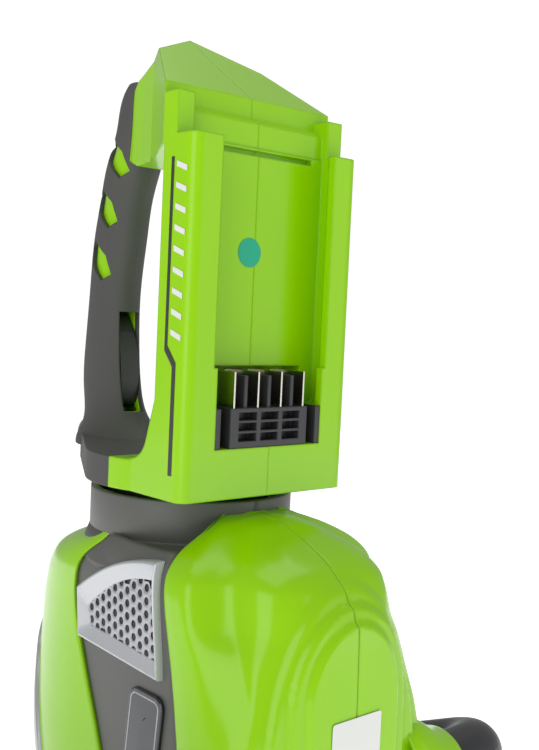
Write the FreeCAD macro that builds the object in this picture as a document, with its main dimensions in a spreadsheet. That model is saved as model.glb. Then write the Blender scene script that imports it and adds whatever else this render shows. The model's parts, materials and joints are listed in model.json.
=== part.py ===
"""Cordless hedge trimmer with a swivelling rear handle and an empty slide-on battery bay.

Frame in millimetres: +Z runs along the tool towards the rear handle, +Y towards the top of the
grip and -Y towards the underside and the battery bay. The origin is on the swivel axis, at the
foot of the rear handle.
"""
import FreeCAD, Part
import math
import os
import Sketcher
from FreeCAD import Placement, Rotation, Vector

SIZES = {
    # shells
    "wall": (2.6, "thickness of every moulded wall"),
    "gap": (0.4, "clearance between parts that move past each other"),
    "fit_gap": (0.15, "clearance between parts that are screwed or clipped together"),
    # rear handle: battery bay
    "bay_half": (44.0, "half width of the battery bay housing"),
    "bay_front": (50.3, "swivel axis to the face of the bay rails"),
    "bay_floor": (36.0, "swivel axis to the floor of the bay"),
    "bay_back": (22.0, "swivel axis to the wall behind the bay"),
    "bay_side_back": (31.0, "swivel axis to the back edge of the bay's side plate"),
    "rail_top": (141.0, "height of the rails' open end"),
    "rail_mouth": (30.0, "half width between the rail lips"),
    "rail_groove": (36.0, "half width between the grooves behind the lips"),
    "rail_lip": (4.0, "thickness of a rail lip"),
    "window_low": (20.0, "foot of the terminal window"),
    "window_high": (52.0, "head of the terminal window"),
    "window_half": (28.3, "half width of the terminal window"),
    "blade_pitch": (12.4, "spacing of the terminal blades"),
    "cap_low": (138.0, "head of the hand opening"),
    "lip_height": (162.0, "height of the rear face's low edge"),
    "apex_height": (193.2, "height of the rear face's high edge"),
    "apex_reach": (14.7, "swivel axis to the rear face's high edge"),
    # rear handle: foot and grip
    "foot_height": (12.7, "height of the handle's foot"),
    "foot_margin": (3.0, "how far the foot's round stands outside the bay's half width"),
    "corner_radius": (5.0, "rounding of the bay's front corners"),
    "root_reach": (82.0, "swivel axis to the back of the grip's root"),
    "root_half": (14.0, "half width of the grip's root"),
    "grip_wide": (11.0, "half width of the covered grip"),
    "grip_deep": (12.5, "half depth of the covered grip"),
    "grip_reach": (69.0, "swivel axis to the middle of the grip"),
    "skin": (2.2, "thickness of the soft overmould"),
    # swivel
    "collar_radius": (44.2, "outside radius of the fixed collar"),
    "collar_top": (3.5, "drop from the handle's foot to the collar"),
    "collar_foot": (34.0, "drop from the handle's foot to the collar's lower edge"),
    "hub_radius": (34.0, "outside radius of the swivel hub"),
    "hub_bore": (29.0, "cable passage through the swivel hub"),
    "flange_radius": (39.5, "radius of the hub's retaining flange"),
    "flange_drop": (9.0, "drop from the handle's foot to the top of the retaining flange"),
    "flange_thick": (3.0, "thickness of the hub's retaining flange"),
    # controls
    "trigger_half": (5.0, "half width of the trigger"),
    "trigger_pivot_y": (66.0, "swivel axis to the trigger pin"),
    "trigger_pivot_z": (66.0, "height of the trigger pin"),
    "pin_radius": (2.0, "radius of the trigger pin"),
    "pin_half": (7.0, "half length of the trigger pin"),
    "pin_play": (0.05, "radial play of a pin in a running bore"),
    "hub_play": (0.1, "radial play of the swivel hub in the collar"),
    "screw_radius": (1.5, "radius of the closing screws' shanks"),
    "screw_head": (3.0, "radius of the closing screws' heads"),
    "short_screw": (13.0, "length of the rear handle's closing screws"),
    "long_screw": (26.0, "length of the motor housing's closing screws"),
    "lead_radius": (1.6, "radius of an insulated lead"),
    "button_radius": (8.0, "radius of the swivel lock button"),
    "button_height": (10.6, "height of the swivel lock button"),
    "stem_radius": (4.0, "radius of the lock button's stem"),
    "button_proud": (2.8, "how far the lock button stands out"),
    "brace_height": (45.0, "height at which the bay's brace begins"),
    "brace_reach": (4.4, "swivel axis to the foot's colour break"),
    # motor housing
    "panel_half": (52.0, "half width of the motor housing at the vents"),
    "waist_half": (61.0, "half width of the motor housing at the front handle"),
    "belly_reach": (108.0, "swivel axis to the belly's lowest face"),
    "crown_reach": (85.0, "swivel axis to the top of the housing"),
    "nose_drop": (232.0, "drop from the handle's foot to the housing's nose"),
    "board_thick": (1.6, "thickness of each circuit board"),
    "board_drop": (58.0, "drop from the handle's foot to the controller board"),
    "badge_thick": (1.4, "thickness of the blank badge plates"),
    "vent_pitch": (6.0, "spacing of the vent holes"),
    "vent_hole": (1.6, "radius of a vent hole"),
    "socket_proud": (7.0, "how far the front handle's sockets stand out"),
    "trim_half": (9.0, "half width of the silver trim"),
    "trim_proud": (2.4, "how far the silver trim stands out"),
    # drive
    "motor_drop": (112.0, "drop from the handle's foot to the motor shaft"),
    "motor_radius": (27.0, "outside radius of the motor can"),
    "motor_wall": (2.0, "wall of the motor can"),
    "motor_low": (-26.0, "lower end of the motor can"),
    "motor_high": (40.0, "upper end of the motor can"),
    "motor_bearing": (8.0, "outside radius of the motor's bearings"),
    "crank_bearing": (9.0, "outside radius of the crank's bearings"),
    "shaft_radius": (3.0, "radius of the motor shaft"),
    "armature_radius": (19.0, "radius of the armature core"),
    "magnet_inner": (20.0, "inside radius of the magnets"),
    "fan_radius": (33.0, "radius of the cooling fan"),
    "gear_module": (1.25, "module of the gear pair"),
    "pinion_teeth": (12, "teeth on the pinion"),
    "wheel_teeth": (48, "teeth on the crank wheel"),
    "backlash": (0.2, "thinning of each tooth along the pitch circle"),
    "mesh_play": (0.05, "how far the gears' middles stand beyond their pitch circles"),
    "wheel_thick": (7.0, "thickness of the crank wheel"),
    "wheel_low": (-73.0, "underside of the crank wheel"),
    "case_half": (41.0, "half width of the gear case"),
    "case_reach": (50.0, "half length of the gear case"),
    "case_wall": (4.0, "wall of the gear case"),
    "throw": (7.0, "eccentric throw of each cam"),
    "cam_radius": (12.0, "radius of each cam"),
    "crank_radius": (4.0, "radius of the crank spindle"),
    # blades
    "blade_thick": (2.2, "thickness of each blade"),
    "blade_top": (-74.0, "upper face of the upper blade"),
    "blade_root": (14.0, "half width of a blade between its teeth"),
    "tooth_tip": (36.0, "half width of a blade over its teeth"),
    "tooth_pitch": (30.0, "spacing of the teeth"),
    "tooth_count": (19, "teeth on each edge"),
    "blade_start": (248.0, "drop from the handle's foot to the first tooth"),
    "bar_thick": (3.0, "thickness of the blade support bar"),
    "bar_half": (11.0, "half width of the blade support bar"),
    "bolt_radius": (3.0, "radius of the blade bolts"),
    "bolt_count": (5, "number of blade bolts"),
    "hang_radius": (4.0, "radius of the hanging hole in the tip guard"),
    "tip_length": (42.0, "length of the tip guard"),
    # front handle
    "hoop_radius": (13.5, "radius of the front handle's tube"),
    "hoop_half": (106.0, "half width of the hoop to its tube's middle"),
    "hoop_height": (195.0, "height of the hoop to its crossbar's middle"),
    "hoop_start_y": (-93.0, "swivel axis to the hoop's foot"),
    "hoop_start_z": (-116.0, "drop from the handle's foot to the hoop's foot"),
    "hoop_lean": (23.0, "lean of the hoop towards the blades, in degrees"),
    "hoop_low_bend": (24.0, "radius of the hoop's lower bends"),
    "hoop_high_bend": (46.0, "radius of the hoop's upper bends"),
    "squeeze_half": (46.0, "half length of the front switch bar"),
    "guard_half": (88.0, "half width of the hand guard"),
    "guard_thick": (3.0, "thickness of the hand guard"),
}

doc = FreeCAD.newDocument("hedge_trimmer")
sheet = doc.addObject("Spreadsheet::Sheet", "Sizes")
NODES = []


def fill_sheet():
    """One row per driving size: its name, its value under an alias, and what it is."""
    for row, (alias, (value, meaning)) in enumerate(SIZES.items(), start=1):
        sheet.set(f"A{row}", alias)
        sheet.set(f"B{row}", str(value))
        sheet.set(f"C{row}", meaning)
        sheet.setAlias(f"B{row}", alias)
    doc.recompute()


def size(alias):
    """A driving size read back from the sheet."""
    return float(sheet.get(alias))


# ---- parametric objects --------------------------------------------------------------------------

def bind(obj, expressions):
    """Ties properties of obj to cells of the sheet. A name in braces stands for a cell."""
    for path, text in expressions.items():
        obj.setExpression(path, str(text).replace("{", "Sizes.").replace("}", ""))


TURNS = {
    "X": Rotation(Vector(0, 1, 0), 90),
    "Y": Rotation(Vector(1, 0, 0), -90),
    "Z": Rotation(),
}


def cylinder(label, radius, height, foot, along="Z"):
    """A round bar from foot, in the direction of an axis. Every argument but along is an expression."""
    bar = doc.addObject("Part::Cylinder", label)
    bar.Placement = Placement(Vector(), TURNS[along])
    bind(bar, {"Radius": radius, "Height": height})
    bind(bar, {f"Placement.Base.{axis}": value for axis, value in zip("xyz", foot)})
    return bar


def block(label, low, high):
    """A box between two corners given as expressions."""
    box = doc.addObject("Part::Box", label)
    names = ("Length", "Width", "Height")
    bind(box, {name: f"({top}) - ({foot})" for name, foot, top in zip(names, low, high)})
    bind(box, {f"Placement.Base.{axis}": value for axis, value in zip("xyz", low)})
    return box


def feature(label, shape):
    """A free-form solid made with Part's own functions."""
    made = doc.addObject("Part::Feature", label)
    made.Shape = shape
    return made


def fuse(label, *parts):
    """The parts joined into one solid."""
    joined = doc.addObject("Part::MultiFuse", label)
    joined.Shapes = list(parts)
    joined.Refine = True
    return joined


def common(label, *parts):
    """What the parts share."""
    shared = doc.addObject("Part::MultiCommon", label)
    shared.Shapes = list(parts)
    return shared


def cut(label, base, *tools):
    """base with every tool taken away."""
    left = base
    for number, tool in enumerate(tools):
        step = doc.addObject("Part::Cut", label if tool is tools[-1] else f"{label}_step_{number}")
        step.Base = left
        step.Tool = tool
        left = step
    return left


def node(label, obj):
    """Marks obj as a sub-part: its label names the sub-part's file."""
    obj.Label = label
    NODES.append(obj)
    return obj


def halves(label, source):
    """Splits a symmetric object at the middle plane into its left and right nodes."""
    reach = 400
    left = block(f"{label}_left_side", (-reach, -reach, -reach), (0, reach, reach))
    right = block(f"{label}_right_side", (0, -reach, -reach), (reach, reach, reach))
    return (
        node(f"{label}_left", common(f"{label}_left_half", source, left)),
        node(f"{label}_right", common(f"{label}_right_half", source, right)),
    )


# ---- sketched bodies -----------------------------------------------------------------------------

PLANES = {"XY": "XY_Plane", "XZ": "XZ_Plane", "YZ": "YZ_Plane"}


def sketch_on(body, name, plane):
    """A sketch on one of the body's own origin planes."""
    sketch = body.newObject("Sketcher::SketchObject", name)
    origin = [f for f in body.Origin.OriginFeatures if f.Role == PLANES[plane]][0]
    sketch.AttachmentSupport = [(origin, "")]
    sketch.MapMode = "FlatFace"
    return sketch


def draw_rectangle(sketch, name, low, high):
    """A rectangle held by four named distances from the sketch's origin, each bound to an expression."""
    first = sketch.GeometryCount
    corners = [Vector(-1, -1, 0), Vector(1, -1, 0), Vector(1, 1, 0), Vector(-1, 1, 0)]
    for start, end in zip(corners, corners[1:] + corners[:1]):
        sketch.addGeometry(Part.LineSegment(start, end), False)
    for side in range(4):
        sketch.addConstraint(
            Sketcher.Constraint("Coincident", first + side, 2, first + (side + 1) % 4, 1)
        )
    for side, kind in enumerate(("Horizontal", "Vertical", "Horizontal", "Vertical")):
        sketch.addConstraint(Sketcher.Constraint(kind, first + side))
    ends = [("left", "DistanceX", 1, low[0]), ("low", "DistanceY", 1, low[1])]
    ends += [("right", "DistanceX", 3, high[0]), ("top", "DistanceY", 3, high[1])]
    for end, kind, corner, value in ends:
        side = first if corner == 1 else first + 2
        guess = -1.0 if corner == 1 else 1.0
        index = sketch.addConstraint(Sketcher.Constraint(kind, -1, 1, side, 1, guess))
        sketch.renameConstraint(index, f"{name}_{end}")
        bind(sketch, {f"Constraints.{name}_{end}": value})


def draw_circle(sketch, name, radius, centre):
    """A circle with a bound radius and centre."""
    index = sketch.addGeometry(Part.Circle(Vector(1, 1, 0), Vector(0, 0, 1), 1), False)
    facts = [("radius", Sketcher.Constraint("Radius", index, 1.0), radius)]
    facts += [("across", Sketcher.Constraint("DistanceX", -1, 1, index, 3, 1.0), centre[0])]
    facts += [("up", Sketcher.Constraint("DistanceY", -1, 1, index, 3, 1.0), centre[1])]
    for fact, constraint, value in facts:
        number = sketch.addConstraint(constraint)
        sketch.renameConstraint(number, f"{name}_{fact}")
        bind(sketch, {f"Constraints.{name}_{fact}": value})


def plate(label, plane, low, high, thickness, offset, holes=()):
    """A sketched rectangular plate with round holes, padded from a plane offset along its normal."""
    body = doc.addObject("PartDesign::Body", label)
    sketch = sketch_on(body, f"{label}_sketch", plane)
    draw_rectangle(sketch, "side", low, high)
    for number, (radius, centre) in enumerate(holes):
        draw_circle(sketch, f"hole_{number}", radius, centre)
    pad = body.newObject("PartDesign::Pad", f"{label}_pad")
    pad.Profile = sketch
    bind(pad, {"Length": thickness})
    axis = {"XY": "z", "XZ": "y", "YZ": "x"}[plane]
    bind(body, {f"Placement.Base.{axis}": offset})
    return body


# ---- free-form helpers ----------------------------------------------------------------------------

def in_plane(plane, across, up):
    """A point of a side view (YZ), front view (XZ) or plan (XY)."""
    return {
        "YZ": Vector(0, across, up),
        "XZ": Vector(across, 0, up),
        "XY": Vector(across, up, 0),
    }[plane]


def outline(plane, start, *moves):
    """A closed wire. A move is an end point, or a pair of a point on an arc and its end point."""
    edges, here = [], start
    for move in moves + (start,):
        if isinstance(move[0], tuple):
            middle, end = move
            arc = Part.Arc(in_plane(plane, *here), in_plane(plane, *middle), in_plane(plane, *end))
            edges.append(arc.toShape())
            here = end
        elif math.dist(here, move) > 1e-6:
            edges.append(Part.LineSegment(in_plane(plane, *here), in_plane(plane, *move)).toShape())
            here = move
    return Part.Wire(edges)


def slab(plane, wire, low, high, inset=0.0):
    """The wire's face, drawn in by inset, extruded from low to high along its normal."""
    face = Part.Face(wire)
    if inset:
        face = Part.Face(face.makeOffset2D(-inset).OuterWire)
    normal = {"YZ": Vector(1, 0, 0), "XZ": Vector(0, 1, 0), "XY": Vector(0, 0, 1)}[plane]
    face.translate(normal * low)
    return face.extrude(normal * (high - low))


ALONG_X = Vector(1, 0, 0)
ALONG_Y = Vector(0, 1, 0)


def box_between(low, high):
    """A box between two corners given as (x, y, z)."""
    return Part.makeBox(high[0] - low[0], high[1] - low[1], high[2] - low[2], Vector(*low))


def bar_along(axis, radius, length, foot):
    """A round bar of a length from foot = (x, y, z), in the direction of an axis."""
    return Part.makeCylinder(radius, length, Vector(*foot), axis)


def mirrored(points):
    """A right-hand outline followed by its mirror image, for a shape symmetric about the middle plane."""
    return points + [(-x, y) for x, y in reversed(points)]


def tilted_block(point, normal, reach):
    """A cube of side reach on the outer side of the plane through point."""
    cube = Part.makeBox(reach, reach, reach, Vector(-reach / 2, -reach / 2, 0))
    cube.Placement = Placement(point, Rotation(Vector(0, 0, 1), normal))
    return cube


def ellipse_wire(centre_y, height, wide, deep):
    """A level ellipse, wide across and deep along Y."""
    long_side = max(wide, deep)
    short_side = min(wide, deep)
    ring = Part.Ellipse(Vector(0, 0, 0), long_side, short_side)
    edge = ring.toShape()
    if deep > wide:
        edge.rotate(Vector(), Vector(0, 0, 1), 90)
    edge.translate(Vector(0, centre_y, height))
    return Part.Wire([edge])


def largest_solid(shape):
    """The main body of a boolean's result, without the offcuts that its tools leave behind."""
    return max(shape.Solids, key=lambda solid: solid.Volume)


def ring_shape(outer, inner, foot, height, along="Z", at=(0, 0)):
    """A plain tube. at gives the axis' place in the two other directions."""
    axis = {"X": Vector(1, 0, 0), "Y": Vector(0, 1, 0), "Z": Vector(0, 0, 1)}[along]
    base = {
        "X": Vector(foot, at[0], at[1]),
        "Y": Vector(at[0], foot, at[1]),
        "Z": Vector(at[0], at[1], foot),
    }[along]
    return Part.makeCylinder(outer, height, base, axis).cut(Part.makeCylinder(inner, height, base, axis))


# ---- rear handle ---------------------------------------------------------------------------------

def grip_stations():
    """Height, middle, half width and half depth of the grip's section, from the foot to the cap."""
    reach, wide, deep = size("grip_reach"), size("grip_wide"), size("grip_deep")
    foot = size("foot_height")
    return [
        (foot - 6, reach - 13, 1.95 * wide, 2.04 * deep),
        (foot + 3, reach - 9, 1.5 * wide, 1.76 * deep),
        (foot + 9, reach - 6, 1.25 * wide, 1.5 * deep),
        (34.0, reach - 2, 1.08 * wide, 1.46 * deep),
        (56.0, reach - 0.5, 1.02 * wide, 1.34 * deep),
        (82.0, reach - 1.5, wide, 1.2 * deep),
        (109.0, reach - 5, wide, 1.26 * deep),
        (125.0, reach - 8.5, wide, 1.2 * deep),
        (141.0, reach - 14, 1.04 * wide, 1.26 * deep),
        (156.0, reach - 20, 1.06 * wide, 1.08 * deep),
        (167.0, reach - 22, 1.04 * wide, 1.04 * deep),
        (176.0, reach - 27, wide, 0.96 * deep),
        (181.0, reach - 31, 0.85 * wide, 0.8 * deep),
    ]


def grip_solid(inset):
    """The grip lofted through level ellipses, drawn in by inset."""
    rings = [
        ellipse_wire(middle, height, wide - inset, deep - inset)
        for height, middle, wide, deep in grip_stations()
    ]
    return Part.makeLoft(rings, True, False)


def foot_outline():
    """Plan of the foot: square under the bay, round at the swivel, drawn by tangents to the grip."""
    half, front = size("bay_half"), size("bay_front")
    radius = half + size("foot_margin")
    root, reach = size("root_half"), size("root_reach")
    centre = reach - root
    lean = math.asin((radius - root) / centre)
    side_y = -math.sqrt(radius**2 - half**2)
    wide = (radius * math.cos(lean), radius * math.sin(lean))
    slim = (root * math.cos(lean), centre + root * math.sin(lean))
    return outline(
        "XY", (-half, -front), (half, -front), (half, side_y), ((radius, 0), wide), slim,
        ((0, reach), (-slim[0], slim[1])), (-wide[0], wide[1]), ((-radius, 0), (-half, side_y)),
    )


def foot_solid(inset, low, high):
    """A level slice of the handle's foot, drawn in by inset."""
    return slab("XY", foot_outline(), low, high, inset)


def cap_solid(inset):
    """The wedge that joins the bay to the grip and carries the sloping rear face."""
    half, side_back, slim = size("bay_half"), size("bay_side_back"), size("grip_wide") - size("skin")
    low, lip = size("cap_low"), size("lip_height")
    apex_z, apex_y = size("apex_height"), size("apex_reach")
    floor_y = -size("bay_floor") + 0.8
    side = outline(
        "YZ", (floor_y, low), (floor_y, lip - 11), (0.5 - side_back, lip - 8), (1 - side_back, lip),
        (apex_y, apex_z), (apex_y + 12, apex_z - 8), (apex_y + 24, apex_z - 19),
        ((apex_y + 34, apex_z - 34), (apex_y + 32, low + 4)), (apex_y + 20, low), (0, low),
    )
    right = [
        (half, -size("bay_front")), (half, 1 - side_back), (18, apex_y + 1), (slim + 5, apex_y + 14),
        (slim + 2, apex_y + 26), (slim, apex_y + 32), (slim, apex_y + 45),
    ]
    points = mirrored(right)
    plan = outline("XY", points[0], *points[1:])
    wedge = slab("YZ", side, -half, half, inset).common(slab("XY", plan, 0, apex_z + 10, inset))
    for sign in (-1, 1):
        shoulder = Vector(sign * 25, 0, apex_z - 10.4)
        peak = Vector(0, apex_y, apex_z)
        below = Vector(sign * 18, apex_y + 9.3, apex_z - 16)
        normal = (peak - shoulder).cross(below - shoulder)
        normal = normal * (1 if normal.y > 0 else -1)
        normal.normalize()
        wedge = wedge.cut(tilted_block(shoulder - normal * inset, normal, 200))
    return wedge


def brace_solid():
    """The web that widens the bay's housing into the foot, with a filleted corner at the hand opening."""
    foot, reach, front = size("foot_height"), size("brace_reach"), size("bay_front")
    top = size("brace_height")
    back = -size("bay_side_back") - 2
    side = outline(
        "YZ", (-front, 0), (-front, top), (back, top), (back + 7, foot + 9),
        ((back + 11, foot + 3), (back + 17, foot + 0.6)), (-reach, foot), (-reach, 0),
    )
    return slab("YZ", side, -size("bay_half"), size("bay_half"))


def cheek_solids():
    """Two blocks at the head of the bay that close the rails' outer corners."""
    half, mouth = size("bay_half"), size("rail_groove")
    foot, front = size("rail_top") - 1, -size("bay_side_back") - 8
    return [
        box_between((low, front, foot), (low + half - mouth, front + 9, size("lip_height") - 4.5))
        for low in (-half, mouth)
    ]


def corner_cuts():
    """What the rounding takes off the front corners of the bay, its brace and the foot."""
    half, front, radius = size("bay_half"), size("bay_front"), size("corner_radius")
    cuts = []
    for sign in (-1, 1):
        middle = sign * (half - radius)
        outer = sorted((middle, sign * (half + 1)))
        corner = box_between((outer[0], -front - 1, -1), (outer[1], radius - front, 300))
        cuts.append(corner.cut(Part.makeCylinder(radius, 302, Vector(middle, radius - front, -1))))
    return cuts


def bay_outline():
    """Plan of the battery bay housing, before its front corners are rounded."""
    half, front = size("bay_half"), size("bay_front")
    return outline(
        "XY", (-half, -front), (half, -front), (half, -size("bay_side_back")),
        (size("rail_mouth"), -size("bay_back")), (-size("rail_mouth"), -size("bay_back")),
        (-half, -size("bay_side_back")),
    )


def trigger_room(grow):
    """The space that the trigger sweeps, grown by a clearance."""
    half = size("trigger_half") + grow
    pivot_y, pivot_z = size("trigger_pivot_y"), size("trigger_pivot_z")
    return box_between(
        (-half, pivot_y - 34, pivot_z - 41.5 - grow), (half, pivot_y + 6 + grow, pivot_z + 5.2 + grow)
    )


def button_bore():
    """The bore that the swivel lock button slides in."""
    return bar_along(
        ALONG_Y, size("button_radius") + size("gap"), 40,
        (0, size("root_reach") - 17, size("button_height")),
    )


def make_rear_shells():
    """The green halves of the rear handle: foot, grip core, cap and battery bay in one moulding."""
    wall, skin, gap = size("wall"), size("skin"), size("gap")
    bay = slab("XY", bay_outline(), 0, size("rail_top"))
    upper = slab("XY", bay_outline(), size("rail_top") - 1, size("cap_low") + 5)
    over = Part.makeBox(200, 100, 400, Vector(-100, -100 - size("bay_floor") + 0.8, size("rail_top")))
    upper = upper.cut(over)
    core_line = -size("brace_reach")
    green_side = box_between((-200, core_line - 200, 0), (200, core_line, 50))
    foot = foot_solid(0, 0, size("foot_height")).common(green_side)
    inner_foot = foot_solid(skin, 0, size("foot_height") - skin)
    core = grip_solid(skin).cut(Part.makeBox(200, 200, 40, Vector(-100, -100, size("apex_height") - 18)))
    joined = [upper, foot, inner_foot, core, cap_solid(0), brace_solid()]
    outside = bay.multiFuse(joined + cheek_solids())

    half_room = size("rail_groove") - 4
    cavity_back = size("bay_back") + wall
    cavity = Part.makeBox(
        2 * half_room, size("bay_floor") - wall - cavity_back, size("cap_low") - size("window_high") - 8,
        Vector(-half_room, -size("bay_floor") + wall, size("window_high") + 4),
    )
    foot_room = foot_solid(skin + wall, wall, size("foot_height") - skin - wall)
    foot_room = foot_room.common(Part.makeBox(400, 400, 50, Vector(-200, -size("bay_front") + 24, 0)))
    grip_room = grip_solid(skin + wall).common(Part.makeBox(60, 200, 132, Vector(-30, 0, 14)))
    cap_room = cap_solid(wall).common(Part.makeBox(200, 60, 50, Vector(-100, -18, size("cap_low") + 4)))
    open_end = size("window_high") + 200
    mouth = box_between(
        (-size("rail_mouth"), -60 - size("bay_floor"), size("window_high")),
        (size("rail_mouth"), -size("bay_floor"), open_end),
    )
    groove_depth = size("bay_front") - size("bay_floor") - size("rail_lip")
    groove = Part.makeBox(
        2 * size("rail_groove"), groove_depth, 200,
        Vector(-size("rail_groove"), -size("bay_floor") - groove_depth, size("window_low") + 16),
    )
    window_depth = size("bay_front") - size("bay_back") - wall
    window = Part.makeBox(
        2 * size("window_half"), window_depth, size("window_high") - size("window_low"),
        Vector(-size("window_half"), -size("bay_front"), size("window_low")),
    )
    hub_hole = Part.makeCylinder(size("hub_radius") + 0.01, 8, Vector(0, 0, -1))
    stem_bore = bar_along(
        ALONG_Y, size("stem_radius") + gap, 60, (0, size("root_reach") - 31, size("button_height"))
    )
    pin_bore = bar_along(
        ALONG_X, size("pin_radius"), 2 * size("pin_half"),
        (-size("pin_half"), size("trigger_pivot_y"), size("trigger_pivot_z")),
    )
    notch = Part.makeBox(200, 3.2, 2.2, Vector(-100, -size("bay_floor"), size("rail_top") - 3))
    notch = notch.common(Part.makeBox(2 * size("rail_mouth"), 20, 400, Vector(-size("rail_mouth"), -50, 0)))
    tools = [
        cavity, foot_room, grip_room, cap_room, mouth, groove, window, hub_hole, button_bore(),
        stem_bore, pin_bore, notch, trigger_room(gap),
    ]
    bosses = [screw_line(y, z, 16, size("screw_radius") + wall - 0.6) for y, z in HANDLE_SCREWS]
    bores = [screw_line(y, z, size("short_screw"), size("screw_radius")) for y, z in HANDLE_SCREWS]
    hub_way = Part.makeCylinder(size("hub_bore") - 6, size("foot_height"), Vector(0, 0, -1))
    hollow = outside.cut(tools + [hub_way] + corner_cuts())
    shell = hollow.multiFuse(bosses).cut(bores + handle_leads(size("fit_gap")))
    whole = feature("rear_shell_whole", largest_solid(shell))
    halves("rear_shell", whole)


def make_overmould():
    """The soft black skin over the grip and the round part of the foot, with three windows a side."""
    skin, gap = size("skin"), size("gap")
    core_foot = foot_solid(skin, -1, size("foot_height") - skin)
    foot = foot_solid(0, 0, size("foot_height")).cut(core_foot)
    foot = foot.common(Part.makeBox(400, 200, 50, Vector(-200, -size("brace_reach"), 0)))
    sleeve = grip_solid(0).common(Part.makeBox(100, 200, 200, Vector(-50, 0, size("foot_height") - 5)))
    outer = foot.fuse(sleeve)
    break_point = Vector(0, size("apex_reach") + 10.3, size("apex_height") - 36)
    above_break = tilted_block(break_point, Vector(0, -1, 0.74), 200)
    above_rim = Part.makeBox(200, 200, 40, Vector(-100, -100, size("apex_height") - 16.7))
    hub_way = Part.makeCylinder(size("hub_radius") + 1, 8, Vector(0, 0, -1))
    holes = [
        grip_solid(skin), cap_solid(0), trigger_room(gap), core_foot, above_break, above_rim,
        button_bore(), hub_way,
    ]
    stations = [(144.0, 56.0), (121.0, 64.0), (96.0, 68.0)]
    for height, middle in stations:
        window = outline(
            "YZ", (middle - 10, height - 7), (middle - 4, height - 10), (middle + 6, height - 1),
            (middle + 8, height + 6), (middle + 3, height + 10), (middle - 7, height + 2),
        )
        holes.append(slab("YZ", window, -40, 40))
    whole = feature("grip_cover_whole", largest_solid(outer.cut(holes)))
    halves("grip_cover", whole)


def make_terminals():
    """The black terminal block at the foot of the bay, with its cheeks, and the four metal blades."""
    front = size("bay_front") - 0.3
    back = size("bay_back") + size("wall") + size("fit_gap")
    half = size("window_half") - size("fit_gap")
    low, high = size("window_low") + size("fit_gap"), 36.0
    grid_half, cell_half = 20.6, 4.7
    body = box_between((-grid_half, -front, low), (grid_half, -back, high))
    slots = []
    for column in (-1, 0, 1):
        for row in (0, 1, 2):
            middle, sill = column * 11.6, low + 2.6 + row * 4.2
            slots.append(box_between(
                (middle - cell_half, -front - 1, sill), (middle + cell_half, -front + 5, sill + 3.2)))
    cheek = 2.6
    cheeks = [
        box_between((x, -front, low), (x + cheek, -back, high)) for x in (-half, half - cheek)
    ]
    foot_depth, inlet = 8.0, 0.6
    foot = Part.makeBox(2 * half, foot_depth, high - low, Vector(-half, -back - foot_depth, low))
    leaf_depth = front - back - foot_depth - inlet
    pitch, leaf_half, divider_half = size("blade_pitch"), 0.4, 0.8
    blade_x = [(-1.5 + number) * pitch for number in range(4)]
    divider_x = [(-1.0 + number) * pitch for number in range(3)]
    divider_top = size("window_high") - 3
    dividers = [
        box_between((x - divider_half, -front + 1, high), (x + divider_half, -front + 19, divider_top))
        for x in divider_x
    ]
    terminal_slots = [
        box_between((x - leaf_half, -front + inlet, low + 6), (x + leaf_half, -back - foot_depth, high + 6))
        for x in blade_x
    ]
    whole = body.cut(slots).multiFuse(cheeks + [foot] + dividers).cut(terminal_slots)
    node("terminal_block", feature("terminal_block_solid", whole))
    blades = []
    for x in blade_x:
        leaf_height = size("window_high") - 1.5 - low - 6
        leaf = Part.makeBox(0.8, leaf_depth, leaf_height, Vector(x - 0.4, -front + inlet, low + 6))
        turned = Part.makeBox(4.6, 0.8, 14, Vector(x - 5.0, -front + inlet + leaf_depth - 0.8, high + 0.4))
        blades.append(leaf.fuse(turned).removeSplitter())
    node("terminal_blades", feature("terminal_blades_solid", Part.makeCompound(blades)))


def make_hub():
    """The swivel hub: a tube with a retaining flange that turns inside the fixed collar."""
    drop, thick = size("flange_drop"), size("flange_thick")
    low = "-{flange_drop} - {flange_thick}"
    height = "{flange_drop} + {flange_thick} + 4"
    tube = cylinder("hub_tube", "{hub_radius}", height, (0, 0, low))
    flange = cylinder("hub_flange", "{flange_radius}", "{flange_thick}", (0, 0, low))
    bore = cylinder("hub_bore_tool", "{hub_bore}", f"{height} + 2", (0, 0, f"{low} - 1"))
    node("swivel_hub", cut("swivel_hub_ring", fuse("hub_outside", tube, flange), bore))
    teeth = []
    for number in range(12):
        angle = math.radians(number * 30)
        middle = size("flange_radius") - 1.6
        teeth.append(Part.makeCylinder(
            1.4, 1.0, Vector(middle * math.cos(angle), middle * math.sin(angle), -drop - thick - 1.0)
        ))
    node("swivel_detent_studs", feature("detent_studs", Part.makeCompound(teeth)))


def make_trigger():
    """The finger trigger, its pin, return spring and switch."""
    half = size("trigger_half")
    y0, z0 = size("trigger_pivot_y"), size("trigger_pivot_z")
    side = outline(
        "YZ", (y0 - 4.5, z0 + 3), ((y0, z0 + 4.6), (y0 + 4.5, z0)), (y0 + 3, z0 - 14),
        (y0 - 1, z0 - 36), ((y0 - 6, z0 - 40), (y0 - 13, z0 - 36)),
        ((y0 - 14, z0 - 20), (y0 - 9.5, z0 - 4)),
    )
    solid = slab("YZ", side, -half, half)
    bore = Part.makeCylinder(
        size("pin_radius") + size("pin_play"), 2 * half + 2, Vector(-half - 1, y0, z0), Vector(1, 0, 0)
    )
    node("trigger", feature("trigger_solid", solid.cut(bore)))
    node("trigger_pin", cylinder(
        "trigger_pin_bar", "{pin_radius}", "2 * {pin_half}",
        ("-{pin_half}", "{trigger_pivot_y}", "{trigger_pivot_z}"), "X",
    ))
    node("trigger_switch", block(
        "trigger_switch_body",
        ("-{trigger_half} + 1.4", "{trigger_pivot_y} - 1", "{trigger_pivot_z} + 8"),
        ("{trigger_half} - 1.4", "{trigger_pivot_y} + 5", "{trigger_pivot_z} + 24"),
    ))


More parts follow.
